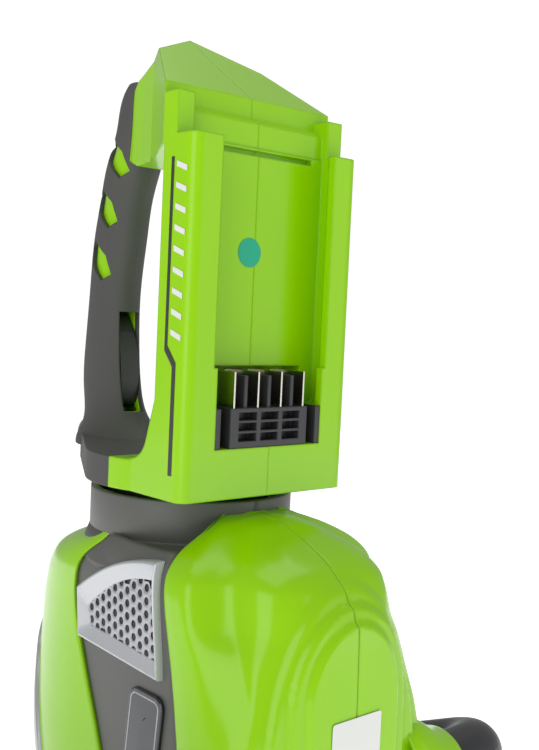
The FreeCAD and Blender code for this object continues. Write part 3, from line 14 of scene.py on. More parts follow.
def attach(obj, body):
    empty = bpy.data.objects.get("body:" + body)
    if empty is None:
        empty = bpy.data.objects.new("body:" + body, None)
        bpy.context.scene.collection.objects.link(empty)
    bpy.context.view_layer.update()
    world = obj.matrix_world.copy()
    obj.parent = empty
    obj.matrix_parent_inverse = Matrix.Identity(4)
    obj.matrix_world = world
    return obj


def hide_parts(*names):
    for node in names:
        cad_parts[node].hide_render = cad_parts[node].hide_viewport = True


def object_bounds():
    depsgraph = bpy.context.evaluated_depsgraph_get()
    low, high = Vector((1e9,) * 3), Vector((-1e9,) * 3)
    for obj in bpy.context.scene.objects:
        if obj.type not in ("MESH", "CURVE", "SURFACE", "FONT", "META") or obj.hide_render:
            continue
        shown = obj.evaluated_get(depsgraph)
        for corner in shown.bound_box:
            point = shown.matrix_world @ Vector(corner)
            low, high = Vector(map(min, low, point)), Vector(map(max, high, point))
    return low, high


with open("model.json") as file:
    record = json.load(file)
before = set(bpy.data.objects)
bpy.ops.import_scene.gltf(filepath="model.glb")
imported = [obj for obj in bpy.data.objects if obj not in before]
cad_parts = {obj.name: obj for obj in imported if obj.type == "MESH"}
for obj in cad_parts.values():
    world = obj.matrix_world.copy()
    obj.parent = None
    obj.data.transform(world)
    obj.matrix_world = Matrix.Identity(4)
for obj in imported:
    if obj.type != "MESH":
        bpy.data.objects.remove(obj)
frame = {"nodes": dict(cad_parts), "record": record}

CAD_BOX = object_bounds()
MM = 0.001
FLAT_ANGLE = 35.0  # faces that turn by less than this many degrees are shaded as one
HOUSING_MIDDLE = Vector((0, -10, -110)) * MM
log = logging.getLogger("trimmer")

Colour = tuple[float, float, float, float]
Point = tuple[float, float, float]


def linear(red: int, green: int, blue: int) -> Colour:
    """Turns a display colour of 0 to 255 into the shader's linear one.

    Args:
        red, green, blue: the display colour's parts.

    Returns:
        The linear colour with full alpha.
    """
    def part(value: int) -> float:
        """One part of the colour, made linear."""
        share = value / 255
        return share / 12.92 if share <= 0.04045 else ((share + 0.055) / 1.055) ** 2.4
    return (part(red), part(green), part(blue), 1.0)


def smooth_step(low: float, high: float, value: float) -> float:
    """Rises smoothly from 0 at low to 1 at high."""
    share = min(1.0, max(0.0, (value - low) / (high - low)))
    return share * share * (3 - 2 * share)


def along(table: Sequence[tuple[float, float]], place: float) -> float:
    """Reads a smooth curve through a few chosen points.

    Args:
        table: pairs of place and value, in rising order of place.
        place: where to read the curve.

    Returns:
        The value there, held constant past both ends.
    """
    if place <= table[0][0]:
        return table[0][1]
    if place >= table[-1][0]:
        return table[-1][1]
    index = next(i for i in range(len(table) - 1) if place <= table[i + 1][0])

    def slope(i: int) -> float:
        """How steep the curve is at one of its points."""
        before, after = table[max(i - 1, 0)], table[min(i + 1, len(table) - 1)]
        return (after[1] - before[1]) / (after[0] - before[0])
    (x0, y0), (x1, y1) = table[index], table[index + 1]
    width = x1 - x0
    t = (place - x0) / width
    m0, m1 = slope(index) * width, slope(index + 1) * width
    return ((2 * t**3 - 3 * t**2 + 1) * y0 + (t**3 - 2 * t**2 + t) * m0
            + (3 * t**2 - 2 * t**3) * y1 + (t**3 - t**2) * m1)


# ---- finishes ------------------------------------------------------------------------------------

class Grain(Enum):
    """The fine relief that a surface has."""
    SMOOTH = "smooth"
    ORANGE_PEEL = "orange_peel"
    LEATHERY = "leathery"
    BRUSHED = "brushed"
    CAST = "cast"


def new_group(name: str, inputs: dict[str, float], outputs: Sequence[str]) -> bpy.types.ShaderNodeTree:
    """Starts a shader node group with number inputs and outputs.

    Args:
        name: the group's name.
        inputs: each input's name and its starting value.
        outputs: the outputs' names.

    Returns:
        The new group, with sockets and no nodes.
    """
    group = bpy.data.node_groups.new(name, "ShaderNodeTree")
    for socket, value in inputs.items():
        made = group.interface.new_socket(socket, in_out="INPUT", socket_type="NodeSocketFloat")
        made.default_value = value
    for socket in outputs:
        group.interface.new_socket(socket, in_out="OUTPUT", socket_type="NodeSocketFloat")
    return group


def grain_group() -> bpy.types.ShaderNodeTree:
    """Fine relief and slow unevenness: a height for bump and a patchy mask for colour and roughness.

    Returns:
        The new group.
    """
    scales = {"Fine scale": 900.0, "Stretch": 1.0, "Patch scale": 18.0}
    group = new_group("Moulding grain", scales, ["Height", "Patch"])
    nodes, links = group.nodes, group.links
    inside, outside = nodes.new("NodeGroupInput"), nodes.new("NodeGroupOutput")
    place = nodes.new("ShaderNodeTexCoord")
    squeeze = nodes.new("ShaderNodeCombineXYZ")
    squeeze.inputs[0].default_value = 1.0
    squeeze.inputs[1].default_value = 1.0
    links.new(inside.outputs["Stretch"], squeeze.inputs[2])
    scaled = nodes.new("ShaderNodeVectorMath")
    scaled.operation = "MULTIPLY"
    links.new(place.outputs["Object"], scaled.inputs[0])
    links.new(squeeze.outputs[0], scaled.inputs[1])
    fine = nodes.new("ShaderNodeTexNoise")
    fine.inputs["Detail"].default_value = 3.0
    links.new(scaled.outputs[0], fine.inputs["Vector"])
    links.new(inside.outputs["Fine scale"], fine.inputs["Scale"])
    patch = nodes.new("ShaderNodeTexNoise")
    patch.inputs["Detail"].default_value = 2.0
    links.new(place.outputs["Object"], patch.inputs["Vector"])
    links.new(inside.outputs["Patch scale"], patch.inputs["Scale"])
    links.new(fine.outputs["Fac"], outside.inputs["Height"])
    links.new(patch.outputs["Fac"], outside.inputs["Patch"])
    return group


def wear_group() -> bpy.types.ShaderNodeTree:
    """A mask that is high along sharp convex edges, broken up by noise, for rubbed corners.

    Returns:
        The new group.
    """
    group = new_group("Edge wear", {"Reach": 0.0012, "Amount": 0.5}, ["Worn"])
    nodes, links = group.nodes, group.links
    inside, outside = nodes.new("NodeGroupInput"), nodes.new("NodeGroupOutput")
    geometry = nodes.new("ShaderNodeNewGeometry")
    rounded = nodes.new("ShaderNodeBevel")
    rounded.samples = 4
    links.new(inside.outputs["Reach"], rounded.inputs["Radius"])
    turn = nodes.new("ShaderNodeVectorMath")
    turn.operation = "DOT_PRODUCT"
    links.new(geometry.outputs["Normal"], turn.inputs[0])
    links.new(rounded.outputs["Normal"], turn.inputs[1])
    sharp = nodes.new("ShaderNodeMapRange")
    sharp.inputs["From Min"].default_value = 0.995
    sharp.inputs["From Max"].default_value = 0.86
    links.new(turn.outputs["Value"], sharp.inputs["Value"])
    place = nodes.new("ShaderNodeTexCoord")
    broken = nodes.new("ShaderNodeTexNoise")
    broken.inputs["Scale"].default_value = 120.0
    links.new(place.outputs["Object"], broken.inputs["Vector"])
    both = nodes.new("ShaderNodeMath")
    both.operation = "MULTIPLY"
    links.new(sharp.outputs["Result"], both.inputs[0])
    links.new(broken.outputs["Fac"], both.inputs[1])
    weighed = nodes.new("ShaderNodeMath")
    weighed.operation = "MULTIPLY"
    weighed.use_clamp = True
    links.new(both.outputs[0], weighed.inputs[0])
    links.new(inside.outputs["Amount"], weighed.inputs[1])
    links.new(weighed.outputs[0], outside.inputs["Worn"])
    return group


@dataclass(frozen=True)
class Finish:
    """How one material looks: its colour, its gloss, its grain, and how far its edges are rubbed."""
    name: str
    colour: Colour
    roughness: float = 0.4
    metallic: float = 0.0
    coat: float = 0.0
    grain: Grain = Grain.SMOOTH
    bump: float = 0.1
    round_edge: float = 0.0006
    wear: float = 0.25
    patchiness: float = 0.06
    specular: float = 0.5

    def make(self, groups: dict[str, bpy.types.ShaderNodeTree]) -> bpy.types.Material:
        """Builds the material.

        Args:
            groups: the shared node groups by name.

        Returns:
            The new material.
        """
        material = bpy.data.materials.new(self.name)
        material.use_nodes = True
        nodes, links = material.node_tree.nodes, material.node_tree.links
        shader = nodes["Principled BSDF"]
        shader.inputs["Metallic"].default_value = self.metallic
        shader.inputs["Coat Weight"].default_value = self.coat
        shader.inputs["Coat Roughness"].default_value = 0.04
        shader.inputs["Specular IOR Level"].default_value = self.specular
        fine, stretch = {
            Grain.SMOOTH: (260.0, 1.0), Grain.ORANGE_PEEL: (420.0, 1.0), Grain.LEATHERY: (1500.0, 1.0),
            Grain.BRUSHED: (2400.0, 0.04), Grain.CAST: (700.0, 1.0),
        }[self.grain]
        grain = nodes.new("ShaderNodeGroup")
        grain.node_tree = groups["grain"]
        grain.inputs["Fine scale"].default_value = fine
        grain.inputs["Stretch"].default_value = stretch
        worn = nodes.new("ShaderNodeGroup")
        worn.node_tree = groups["wear"]
        worn.inputs["Reach"].default_value = self.round_edge * 1.6
        worn.inputs["Amount"].default_value = self.wear

        tint = nodes.new("ShaderNodeMapRange")
        tint.inputs["To Min"].default_value = 1.0 - self.patchiness
        tint.inputs["To Max"].default_value = 1.0 + self.patchiness
        links.new(grain.outputs["Patch"], tint.inputs["Value"])
        base = nodes.new("ShaderNodeMix")
        base.data_type = "RGBA"
        base.blend_type = "MULTIPLY"
        base.inputs["Factor"].default_value = 1.0
        base.inputs["A"].default_value = self.colour
        links.new(tint.outputs["Result"], base.inputs["B"])
        rubbed = nodes.new("ShaderNodeMix")
        rubbed.data_type = "RGBA"
        links.new(worn.outputs["Worn"], rubbed.inputs["Factor"])
        links.new(base.outputs["Result"], rubbed.inputs["A"])
        paler = tuple(min(1.0, part * 1.35 + 0.03) for part in self.colour[:3]) + (1.0,)
        rubbed.inputs["B"].default_value = paler
        links.new(rubbed.outputs["Result"], shader.inputs["Base Color"])

        rough = nodes.new("ShaderNodeMapRange")
        rough.inputs["To Min"].default_value = max(0.02, self.roughness * 0.88)
        rough.inputs["To Max"].default_value = min(1.0, self.roughness * 1.12 + 0.01)
        links.new(grain.outputs["Patch"], rough.inputs["Value"])
        links.new(rough.outputs["Result"], shader.inputs["Roughness"])

        rounded = nodes.new("ShaderNodeBevel")
        rounded.samples = 6
        rounded.inputs["Radius"].default_value = self.round_edge
        bump = nodes.new("ShaderNodeBump")
        bump.inputs["Strength"].default_value = self.bump
        bump.inputs["Distance"].default_value = 0.0002
        links.new(grain.outputs["Height"], bump.inputs["Height"])
        links.new(rounded.outputs["Normal"], bump.inputs["Normal"])
        links.new(bump.outputs["Normal"], shader.inputs["Normal"])
        return material


FINISHES: dict[str, Finish] = {
    "green_shell": Finish("Lime gloss moulding", linear(148, 210, 0), 0.22, coat=0.1, bump=0.015,
                          round_edge=0.0014, wear=0.1, patchiness=0.03, specular=0.35),
    "grey_panel": Finish("Grey grained moulding", linear(92, 93, 89), 0.42, grain=Grain.ORANGE_PEEL,
                         bump=0.12, round_edge=0.0012),
    "silver_vent": Finish("Silver vent paint", linear(198, 200, 204), 0.26, 0.35, coat=0.2, bump=0.03),
    "vent_plate": Finish("Perforated silver plate", linear(176, 178, 182), 0.34, 0.5, bump=0.05,
                         round_edge=0.0002),
    "dark_badge": Finish("Blue-black badge gloss", linear(24, 28, 36), 0.10, coat=0.6, bump=0.01),
    "silver_trim": Finish("Silver trim paint", linear(178, 178, 180), 0.3, 0.4, bump=0.04, round_edge=0.001),
    "teal_film": Finish("Teal sticker film", linear(0, 172, 136), 0.4, bump=0.02, round_edge=0.0001),
    "label_film": Finish("Blank label film", linear(226, 228, 224), 0.4, bump=0.02, round_edge=0.0001),
    "board": Finish("Green circuit lacquer", linear(18, 92, 48), 0.35, coat=0.3),
    "motor_steel": Finish("Turned steel", linear(170, 172, 175), 0.32, 1.0, grain=Grain.BRUSHED, bump=0.25),
    "motor_plastic": Finish("Black nylon", linear(38, 38, 40), 0.5, grain=Grain.ORANGE_PEEL),
    "magnet": Finish("Dull ferrite", linear(70, 70, 72), 0.7, grain=Grain.CAST, bump=0.4),
    "bearing_steel": Finish("Polished bearing steel", linear(205, 206, 208), 0.15, 1.0, bump=0.02),
    "gear_steel": Finish("Oiled gear steel", linear(140, 138, 134), 0.3, 1.0, grain=Grain.BRUSHED, bump=0.2),
    "cast_case": Finish("Cast aluminium", linear(168, 170, 173), 0.55, 0.9, grain=Grain.CAST, bump=0.5),
    "blade_steel": Finish("Ground blade steel", linear(176, 178, 181), 0.28, 1.0, grain=Grain.BRUSHED,
                          bump=0.3, round_edge=0.0003, wear=0.5, patchiness=0.1),
    "bar_steel": Finish("Brushed bar steel", linear(158, 160, 164), 0.34, 1.0, grain=Grain.BRUSHED, bump=0.3),
    "fastener": Finish("Zinc-plated fastener", linear(150, 150, 148), 0.35, 1.0, grain=Grain.CAST,
                       round_edge=0.0003),
    "black_plastic": Finish("Black moulded plastic", linear(50, 50, 53), 0.38, grain=Grain.ORANGE_PEEL,
                            bump=0.14, round_edge=0.0008),
    "guard_plastic": Finish("Smoked guard plastic", linear(44, 45, 48), 0.3, coat=0.2,
                            grain=Grain.ORANGE_PEEL),
    "spring_steel": Finish("Drawn spring wire", linear(165, 166, 168), 0.3, 1.0, grain=Grain.BRUSHED),
    "soft_grip": Finish("Soft charcoal overmould", linear(74, 73, 72), 0.62, grain=Grain.LEATHERY, bump=0.3,
                        round_edge=0.001, wear=0.35),
    "contact_metal": Finish("Nickelled contact", linear(214, 208, 196), 0.2, 1.0, grain=Grain.BRUSHED,
                            bump=0.1, round_edge=0.0002),
    "hub_plastic": Finish("Black bearing nylon", linear(40, 40, 42), 0.45, grain=Grain.ORANGE_PEEL),
    "lock_plastic": Finish("Smoky green button", linear(104, 124, 78), 0.22, coat=0.4, bump=0.02),
    "winding": Finish("Enamelled copper", linear(168, 92, 42), 0.28, 0.9, grain=Grain.BRUSHED, bump=0.5),
    "lead": Finish("Red lead insulation", linear(168, 26, 22), 0.4),
}


class Paintbox:
    """Builds each finish once and dresses the carried-over parts from the record's material slots."""

    def __init__(self) -> None:
        """Makes the shared groups and every material."""
        self.groups = {"grain": grain_group(), "wear": wear_group()}
        self.made = {slot: finish.make(self.groups) for slot, finish in FINISHES.items()}

    def dress(self, piece: bpy.types.Object, slot: str) -> None:
        """Gives a piece the one material of its slot."""
        piece.data.materials.clear()
        piece.data.materials.append(self.made[slot])

    def dress_frame(self) -> None:
        """Dresses every CAD node by its slot."""
        for part in frame["record"]["subparts"]:
            piece = frame["nodes"][part["node"]]
            self.dress(piece, part["material_slot"])
            log.info("dressed %s as %s", part["node"], part["material_slot"])


# ---- mesh helpers -------------------------------------------------------------------------------

Flat = tuple[float, float]


def curve_through(points: Sequence[Flat], steps: int) -> list[Flat]:
    """Draws a smooth curve through points.

    Args:
        points: the points, in order.
        steps: how many samples each span gets.

    Returns:
        The samples, both ends included.
    """
    samples: list[Flat] = []
    for index in range(len(points) - 1):
        before = points[max(index - 1, 0)]
        here, after = points[index], points[index + 1]
        beyond = points[min(index + 2, len(points) - 1)]
        for step in range(steps):
            t = step / steps
            samples.append(tuple(
                0.5 * (2 * b + (c - a) * t + (2 * a - 5 * b + 4 * c - d) * t**2
                       + (3 * b - a - 3 * c + d) * t**3)
                for a, b, c, d in zip(before, here, after, beyond)
            ))
    samples.append(points[-1])
    return samples


def even_steps(points: Sequence[Flat], count: int) -> list[Flat]:
    """Takes count samples, evenly spaced along a line of points.

    Args:
        points: the line's points, in order.
        count: how many samples to take.

    Returns:
        The samples, in the same order.
    """
    lengths = [0.0]
    for here, after in zip(points, points[1:]):
        lengths.append(lengths[-1] + math.dist(here, after))
    samples, span = [], 0
    for number in range(count):
        place = lengths[-1] * number / (count - 1)
        while span < len(points) - 2 and lengths[span + 1] < place:
            span += 1
        width = max(lengths[span + 1] - lengths[span], 1e-9)
        share = min(1.0, (place - lengths[span]) / width)
        here, after = points[span], points[span + 1]
        samples.append((here[0] + (after[0] - here[0]) * share, here[1] + (after[1] - here[1]) * share))
    return samples


def grid_into(shape: bmesh.types.BMesh, rows: Sequence[Sequence[Point]], closed: bool = False) -> None:
    """Adds a sheet of quads through rows of points given in millimetres.

    Args:
        shape: the mesh under construction.
        rows: rows of equally many points.
        closed: whether each row joins its own end to its start.
    """
    made = [[shape.verts.new((x * MM, y * MM, z * MM)) for x, y, z in row] for row in rows]
    width = len(made[0])
    for lower, upper in zip(made, made[1:]):
        for place in range(width if closed else width - 1):
            after = (place + 1) % width
            shape.faces.new((lower[place], lower[after], upper[after], upper[place]))


def slab_into(shape: bmesh.types.BMesh, outline: Sequence[Point], lift: Point) -> None:
    """Adds a flat slab: an outline in millimetres and the step to its other face.

    Args:
        shape: the mesh that the slab is added to.
        outline: the points round one face, in millimetres.
        lift: the step from that face to the other, in millimetres.
    """
    foot = [shape.verts.new((x * MM, y * MM, z * MM)) for x, y, z in outline]
    head = [shape.verts.new(((x + lift[0]) * MM, (y + lift[1]) * MM, (z + lift[2]) * MM))
            for x, y, z in outline]
    shape.faces.new(foot)
    shape.faces.new(list(reversed(head)))
    for place in range(len(foot)):
        after = (place + 1) % len(foot)
        shape.faces.new((foot[place], head[place], head[after], foot[after]))


def turn_outward(shape: bmesh.types.BMesh, middle: Vector) -> None:
    """Flips each joined sheet of a mesh whose faces look in towards a place inside the object.

    Args:
        shape: the mesh.
        middle: a place inside the object, in metres.
    """
    waiting = set(shape.faces)
    while waiting:
        sheet, edge_of = [], [waiting.pop()]
        while edge_of:
            face = edge_of.pop()
            sheet.append(face)
            for edge in face.edges:
                for near in edge.link_faces:
                    if near in waiting:
                        waiting.discard(near)
                        edge_of.append(near)
        if sum(face.calc_area() * face.normal.dot(face.calc_center_median() - middle) for face in sheet) < 0:
            bmesh.ops.reverse_faces(shape, faces=sheet)


class Workshop:
    """Turns finished meshes into dressed pieces that ride on their bodies."""

    def __init__(self, paints: Paintbox) -> None:
        """Keeps the finishes that every piece is dressed from."""
        self.paints = paints

    def piece(self, name: str, shape: bmesh.types.BMesh, slot: str, body: str, finish: str = "",
              stands_for: Sequence[str] = (), thickness: float = 0.0) -> bpy.types.Object:
        """Makes one piece out of a mesh.

        Args:
            name: the piece's name.
            shape: its mesh, which is freed.
            slot: the record's material slot.
            body: the body that it rides on.
            finish: its finish, where that isn't the slot's own.
            stands_for: the CAD nodes that it replaces.
            thickness: how thick a sheet becomes, in millimetres.

        Returns:
            The new object.
        """
        bmesh.ops.remove_doubles(shape, verts=shape.verts, dist=0.00001)
        bmesh.ops.recalc_face_normals(shape, faces=shape.faces)
        if thickness:
            shape.normal_update()
            turn_outward(shape, HOUSING_MIDDLE)
        for face in shape.faces:
            face.smooth = True
        mesh = bpy.data.meshes.new(name)
        shape.to_mesh(mesh)
        shape.free()
        mesh.set_sharp_from_angle(angle=math.radians(FLAT_ANGLE))
        made = bpy.data.objects.new(name, mesh)
        bpy.context.scene.collection.objects.link(made)
        made.data.materials.append(self.paints.made[finish or slot])
        if thickness:
            thick = made.modifiers.new("thickness", "SOLIDIFY")
            thick.thickness = thickness * MM
            thick.offset = -1.0
        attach(made, body)
        if stands_for:
            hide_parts(*stands_for)
        log.info("made %s with %d faces", name, len(mesh.polygons))
        return made


# ---- motor housing ------------------------------------------------------------------------------

@dataclass(frozen=True)
class Arch:
    """One raised arch on the belly: half width, height of its crown, length of its curve, rise."""
    half: float
    crown: float
    curve: float
    rise: float

    def share(self, x: float, z: float) -> float:
        """How far a place on the belly is inside the arch, from 0 to 1.

        Args:
            x: how far the place is from the middle plane.
            z: its height.

        Returns:
            0 outside the arch, 1 inside it, and a smooth step between.
        """
        drop = z - (self.crown - self.curve)
        if drop > 0:
            inside = (1 - math.hypot(x / self.half, drop / self.curve)) * min(self.half, self.curve)
        else:
            inside = self.half - abs(x)
        return smooth_step(-0.9, 0.9, inside)


@dataclass
class MotorHousing:
    """The green housing: a domed belly with three arches, a rounded crown, and the hoop's shoulders."""
    workshop: Workshop
    bottom: float = -231.6
    arches: tuple[Arch, ...] = (
        Arch(41.0, -25.5, 85.0, 2.6), Arch(30.0, -33.5, 36.0, 2.6), Arch(24.0, -39.5, 30.0, 2.0),
    )
    waist: tuple[Flat, ...] = (
        (-232, 37.5), (-222, 41), (-180, 50.5), (-135, 56.5), (-116, 56.5), (-90, 54), (-60, 51.8),
        (-7, 51.8),
    )
    belly_depth: tuple[Flat, ...] = (
        (-232, 84), (-226, 93), (-214, 98), (-190, 99.2), (-100, 99.3), (-60, 98.7), (-40, 98),
        (-30, 97),
    )
    belly_swell: tuple[Flat, ...] = (
        (-40, 1.0), (-32, 0.985), (-26, 0.945), (-20, 0.83), (-15, 0.66), (-11.5, 0.5), (-9, 0.34),
        (-7.8, 0.16),
    )
    belly_border: tuple[Flat, ...] = (
        (-232, -62), (-176, -68), (-150, -76), (-110, -70), (-88, -66), (-78, -63), (-54, -56),
        (-39, -52), (-29, -50), (-19, -50), (-13, -54),
    )
    crown_border: tuple[Flat, ...] = (
        (-232, -62), (-176, -68), (-150, -44), (-105, -18), (-74, 1), (-58, 9), (-44, 12), (-32, 9.5),
        (-22, -0.7), (-13, -6),
    )
    crown_height: tuple[Flat, ...] = (
        (-232, 3), (-205, 20), (-176, 41), (-160, 57), (-136, 76), (-110, 84.5), (-87, 86.8),
        (-63, 86.6), (-54, 85), (-44, 80.5), (-35, 70), (-27.5, 50), (-23, 30), (-19, 14), (-8, 5),
    )
    crown_half: tuple[Flat, ...] = ((-44, 1.0), (-35, 0.99), (-27.5, 0.945), (-23, 0.89), (-19, 0.83))
    valley_half: tuple[Flat, ...] = (
        (-232, 28), (-200, 36), (-150, 44), (-105, 49), (-81, 45), (-67, 42.5), (-52, 40), (-41, 37),
        (-24, 36),
    )
    valley_depth: tuple[Flat, ...] = (
        (-232, 3.0), (-105, 2.5), (-81, 3.0), (-67, 6.8), (-52, 13.0), (-41, 19.0), (-24, 21.0),
    )

    def heights(self) -> list[float]:
        """Heights of the sections: close together over the dome's top and the arches.

        Returns:
            The heights, from the dome's top down to the nose.
        """
        top, knee = -7.6, -31.6
        dome = [top + (knee - top) * (step / 26) ** 2 for step in range(26)]
        arched = [knee - 1.25 * step for step in range(66)]
        lower = [arched[-1] - 2.6 * step for step in range(1, 43)]
        rounded = [self.bottom + 5.0, self.bottom + 3.0, self.bottom + 1.2, self.bottom]
        return dome + arched + [z for z in lower if z > rounded[0] + 1] + rounded

    def belly_line(self, z: float) -> list[Flat]:
        """One section of the belly, from the middle plane out to the side panel's edge.

        Args:
            z: the section's height.

        Returns:
            The points as X and Y on the right side; the left is their mirror.
        """
        deep, waist = along(self.belly_depth, z), along(self.waist, z)
        border = -along(self.belly_border, z)
        valley, drop = along(self.valley_half, z), along(self.valley_depth, z)
        span = deep - drop - border
        line = [(valley * out, deep - drop * down) for out, down in (
            (0.0, 0.0), (0.35, 0.01), (0.62, 0.08), (0.82, 0.27), (0.95, 0.58), (1.0, 1.0))]
        line += [
            (valley + 3.8, deep - drop - min(5.0, 0.2 * span)), (waist - 1.2, border + 0.56 * span),
            (waist, border + 0.28 * span), (waist - 0.6, border + 0.8),
        ]
        swell = along(self.belly_swell, z)
        middle = 35.0
        samples = even_steps(curve_through(line, 8), 84)
        placed = []
        for number, (x, depth) in enumerate(samples):
            rise = sum(arch.rise * arch.share(x, z) for arch in self.arches)
            y = -(middle + (depth + rise * smooth_step(-21, -31, z) - middle) * swell)
            placed.append((x * swell, y + (0.3 if number == 0 else 0.0)))
        placed[0] = (0.03, placed[0][1])
        placed.insert(1, (0.35, placed[1][1]))
        edge_x, edge_y = placed[-1]
        return placed + [(edge_x - 0.5, edge_y + 0.7), (edge_x - 2.4, edge_y + 0.8)]

    def crown_line(self, z: float) -> list[Flat]:
        """One section of the crown, from the side panel's edge up to the middle plane.

        Args:
            z: the section's height.

        Returns:
            The points as X and Y on the right side; the left is their mirror.
        """
        height = along(self.crown_height, z)
        half = (along(self.waist, z) + 0.4) * along(self.crown_half, z)
        foot = along(self.crown_border, z)
        line = [(half, foot + (0.0 - foot) * step / 6) for step in range(6)] if foot < 0 else []
        start = math.asin(min(1.0, max(foot, 0.0) / height))
        for step in range(41):
            turn = start + (math.pi / 2 - start) * step / 40
            line.append((half * math.cos(turn), height * math.sin(turn)))
        samples = even_steps(line, 58)
        samples[-1] = (0.03, samples[-1][1] - 0.3)
        samples.insert(-1, (0.35, samples[-1][1] + 0.29))
        return [(half - 2.4, foot - 0.8), (half - 0.5, foot - 0.7)] + samples

    def shoulder(self, side: int) -> list[list[Point]]:
        """The flange that the front handle's tube stands in, as rings along X.

        Args:
            side: -1 for the left, 1 for the right.

        Returns:
            The rings, from inside the shell out over the rim and back into the bore.
        """
        at_y, at_z = -92.0, -116.0
        rings = []
        for x, radius in ((36, 29), (44, 27.6), (50, 25.5), (55, 22.4), (60, 19.4), (65, 17.8),
                          (67.4, 17.2), (68, 16.6), (68, 14.2), (64, 13.9)):
            rings.append([
                (side * x, at_y + min(radius, 18.5) * math.sin(turn) * 0.98, at_z + radius * math.cos(turn))
                for turn in (2 * math.pi * step / 56 for step in range(56))
            ])
        return rings

    def nose(self, side: int) -> list[list[Point]]:
        """The nose's flat end, from the last section in to the blades' opening.

        Args:
            side: -1 for the left, 1 for the right.

        Returns:
            The rows, from the outer edge in to the opening.
        """
        outer = [(x, y) for x, y in self.belly_line(self.bottom)[:-2] + self.crown_line(self.bottom)[2:]]
        port_half, port_low, port_high = 27.0, -89.0, -63.0
        rows = [[(side * x, y, self.bottom) for x, y in outer]]
        for share in (0.5, 1.0):
            row = []
            for number, (x, y) in enumerate(outer):
                turn = math.pi * number / (len(outer) - 1)
                reach = min(1.0, 1.35 * math.sin(turn))
                port = (port_half * reach, (port_low + port_high) / 2
                        - (port_high - port_low) / 2 * max(-1.0, min(1.0, 2.2 * math.cos(turn))))
                row.append((side * (x + (port[0] - x) * share), y + (port[1] - y) * share, self.bottom))
            rows.append(row)
        return rows

    def build(self) -> None:
        """Makes the left and the right shell."""
        for side, name in ((-1, "left"), (1, "right")):
            shape = bmesh.new()
            heights = self.heights()
            grid_into(shape, [[(side * x, y, z) for x, y in self.belly_line(z)] for z in heights])
            grid_into(shape, [[(side * x, y, z) for x, y in self.crown_line(z)] for z in heights])
            grid_into(shape, self.shoulder(side), closed=True)
            grid_into(shape, self.nose(side))
            self.workshop.piece(f"housing_skin_{name}", shape, "green_shell", "housing",
                                stands_for=[f"housing_shell_{name}"], thickness=1.6)


@dataclass
class SidePanel:
    """The grey band down each flank and the collar that the rear handle turns in."""
    workshop: Workshop
    housing: MotorHousing
    panel_half: tuple[Flat, ...] = (
        (-178, 48.6), (-135, 55.0), (-116, 55.2), (-90, 52.8), (-60, 50.6), (-44, 50.2), (-34, 49.7),
        (-26, 48.5), (-20, 45.6), (-14, 40.5),
    )
    collar_radius: float = 44.2

    def surface(self, z: float) -> float:
        """Half width of the grey band at a height."""
        return along(self.panel_half, z)

    def band(self, side: int) -> list[list[Point]]:
        """Rows down the band, from the belly's edge to the crown's.

        Args:
            side: -1 for the left, 1 for the right.

        Returns:
            The rows, from the top down.
        """
        rows = []
        for step in range(100):
            z = -19.0 - 158.0 * step / 99
            (low_x, low), (high_x, high) = self.housing.belly_line(z)[-1], self.housing.crown_line(z)[0]
            half = self.surface(z)
            row = []
            for place in range(33):
                share = place / 32
                edge = low_x + (high_x - low_x) * share + 0.6
                rise = math.sin(math.pi * share) ** 0.3
                x = edge + (max(half, edge) - edge) * rise + 0.5 * math.sin(math.pi * share)
                row.append((side * x, low + (high - low) * share, z))
            rows.append(row)
        return rows

    def collar(self, side: int) -> list[list[Point]]:
        """Half of the collar: a short wall, a crease, and the bowl that runs into the band.

        Args:
            side: -1 for the left, 1 for the right.

        Returns:
            The rows, from the rim down and in.
        """
        profile = ((40.9, -3.6), (41.6, -3.2), (43.6, -3.2), (44.1, -3.5), (44.2, -4.2), (44.2, -12.0),
                   (44.2, -20.2), (44.0, -20.9), (43.2, -22.4), (41.6, -26.0), (39.6, -30.5), (37.0, -36.0))
        rows = []
        for radius, z in profile:
            row = []
            for step in range(61):
                turn = math.pi * step / 60
                x = max(0.12, radius * math.sin(turn))
                row.append((side * x, -radius * math.cos(turn), z))
            rows.append(row)
        return rows

    def tongue(self, side: int) -> list[list[Point]]:
        """The tapered tongue under the collar's crease, which narrows to a blunt tip on the band.

        Args:
            side: -1 for the left, 1 for the right.

        Returns:
            The rows, from the crease down to the tip.
        """
        rows = []
        for z, reach, half_turn, middle in ((-20.6, 44.3, 60.0, 0.0), (-24.0, 46.4, 42.0, -1.2),
                                            (-27.5, 48.6, 27.0, -2.4), (-30.6, 50.4, 14.0, -3.4),
                                            (-32.6, 51.1, 4.0, -4.0)):
            row = []
            for step in range(25):
                turn = math.radians(-half_turn + 2 * half_turn * step / 24)
                row.append((side * reach * math.cos(turn), middle + reach * math.sin(turn), z))
            rows.append(row)
        return rows

    def build(self) -> None:
        """Makes both panels, each with its half of the collar."""
        for side, name in ((-1, "left"), (1, "right")):
            shape = bmesh.new()
            grid_into(shape, self.band(side))
            grid_into(shape, self.collar(side))
            grid_into(shape, self.tongue(side))
            self.workshop.piece(f"side_band_{name}", shape, "grey_panel", "housing",
                                stands_for=[f"side_panel_{name}"], thickness=1.2)


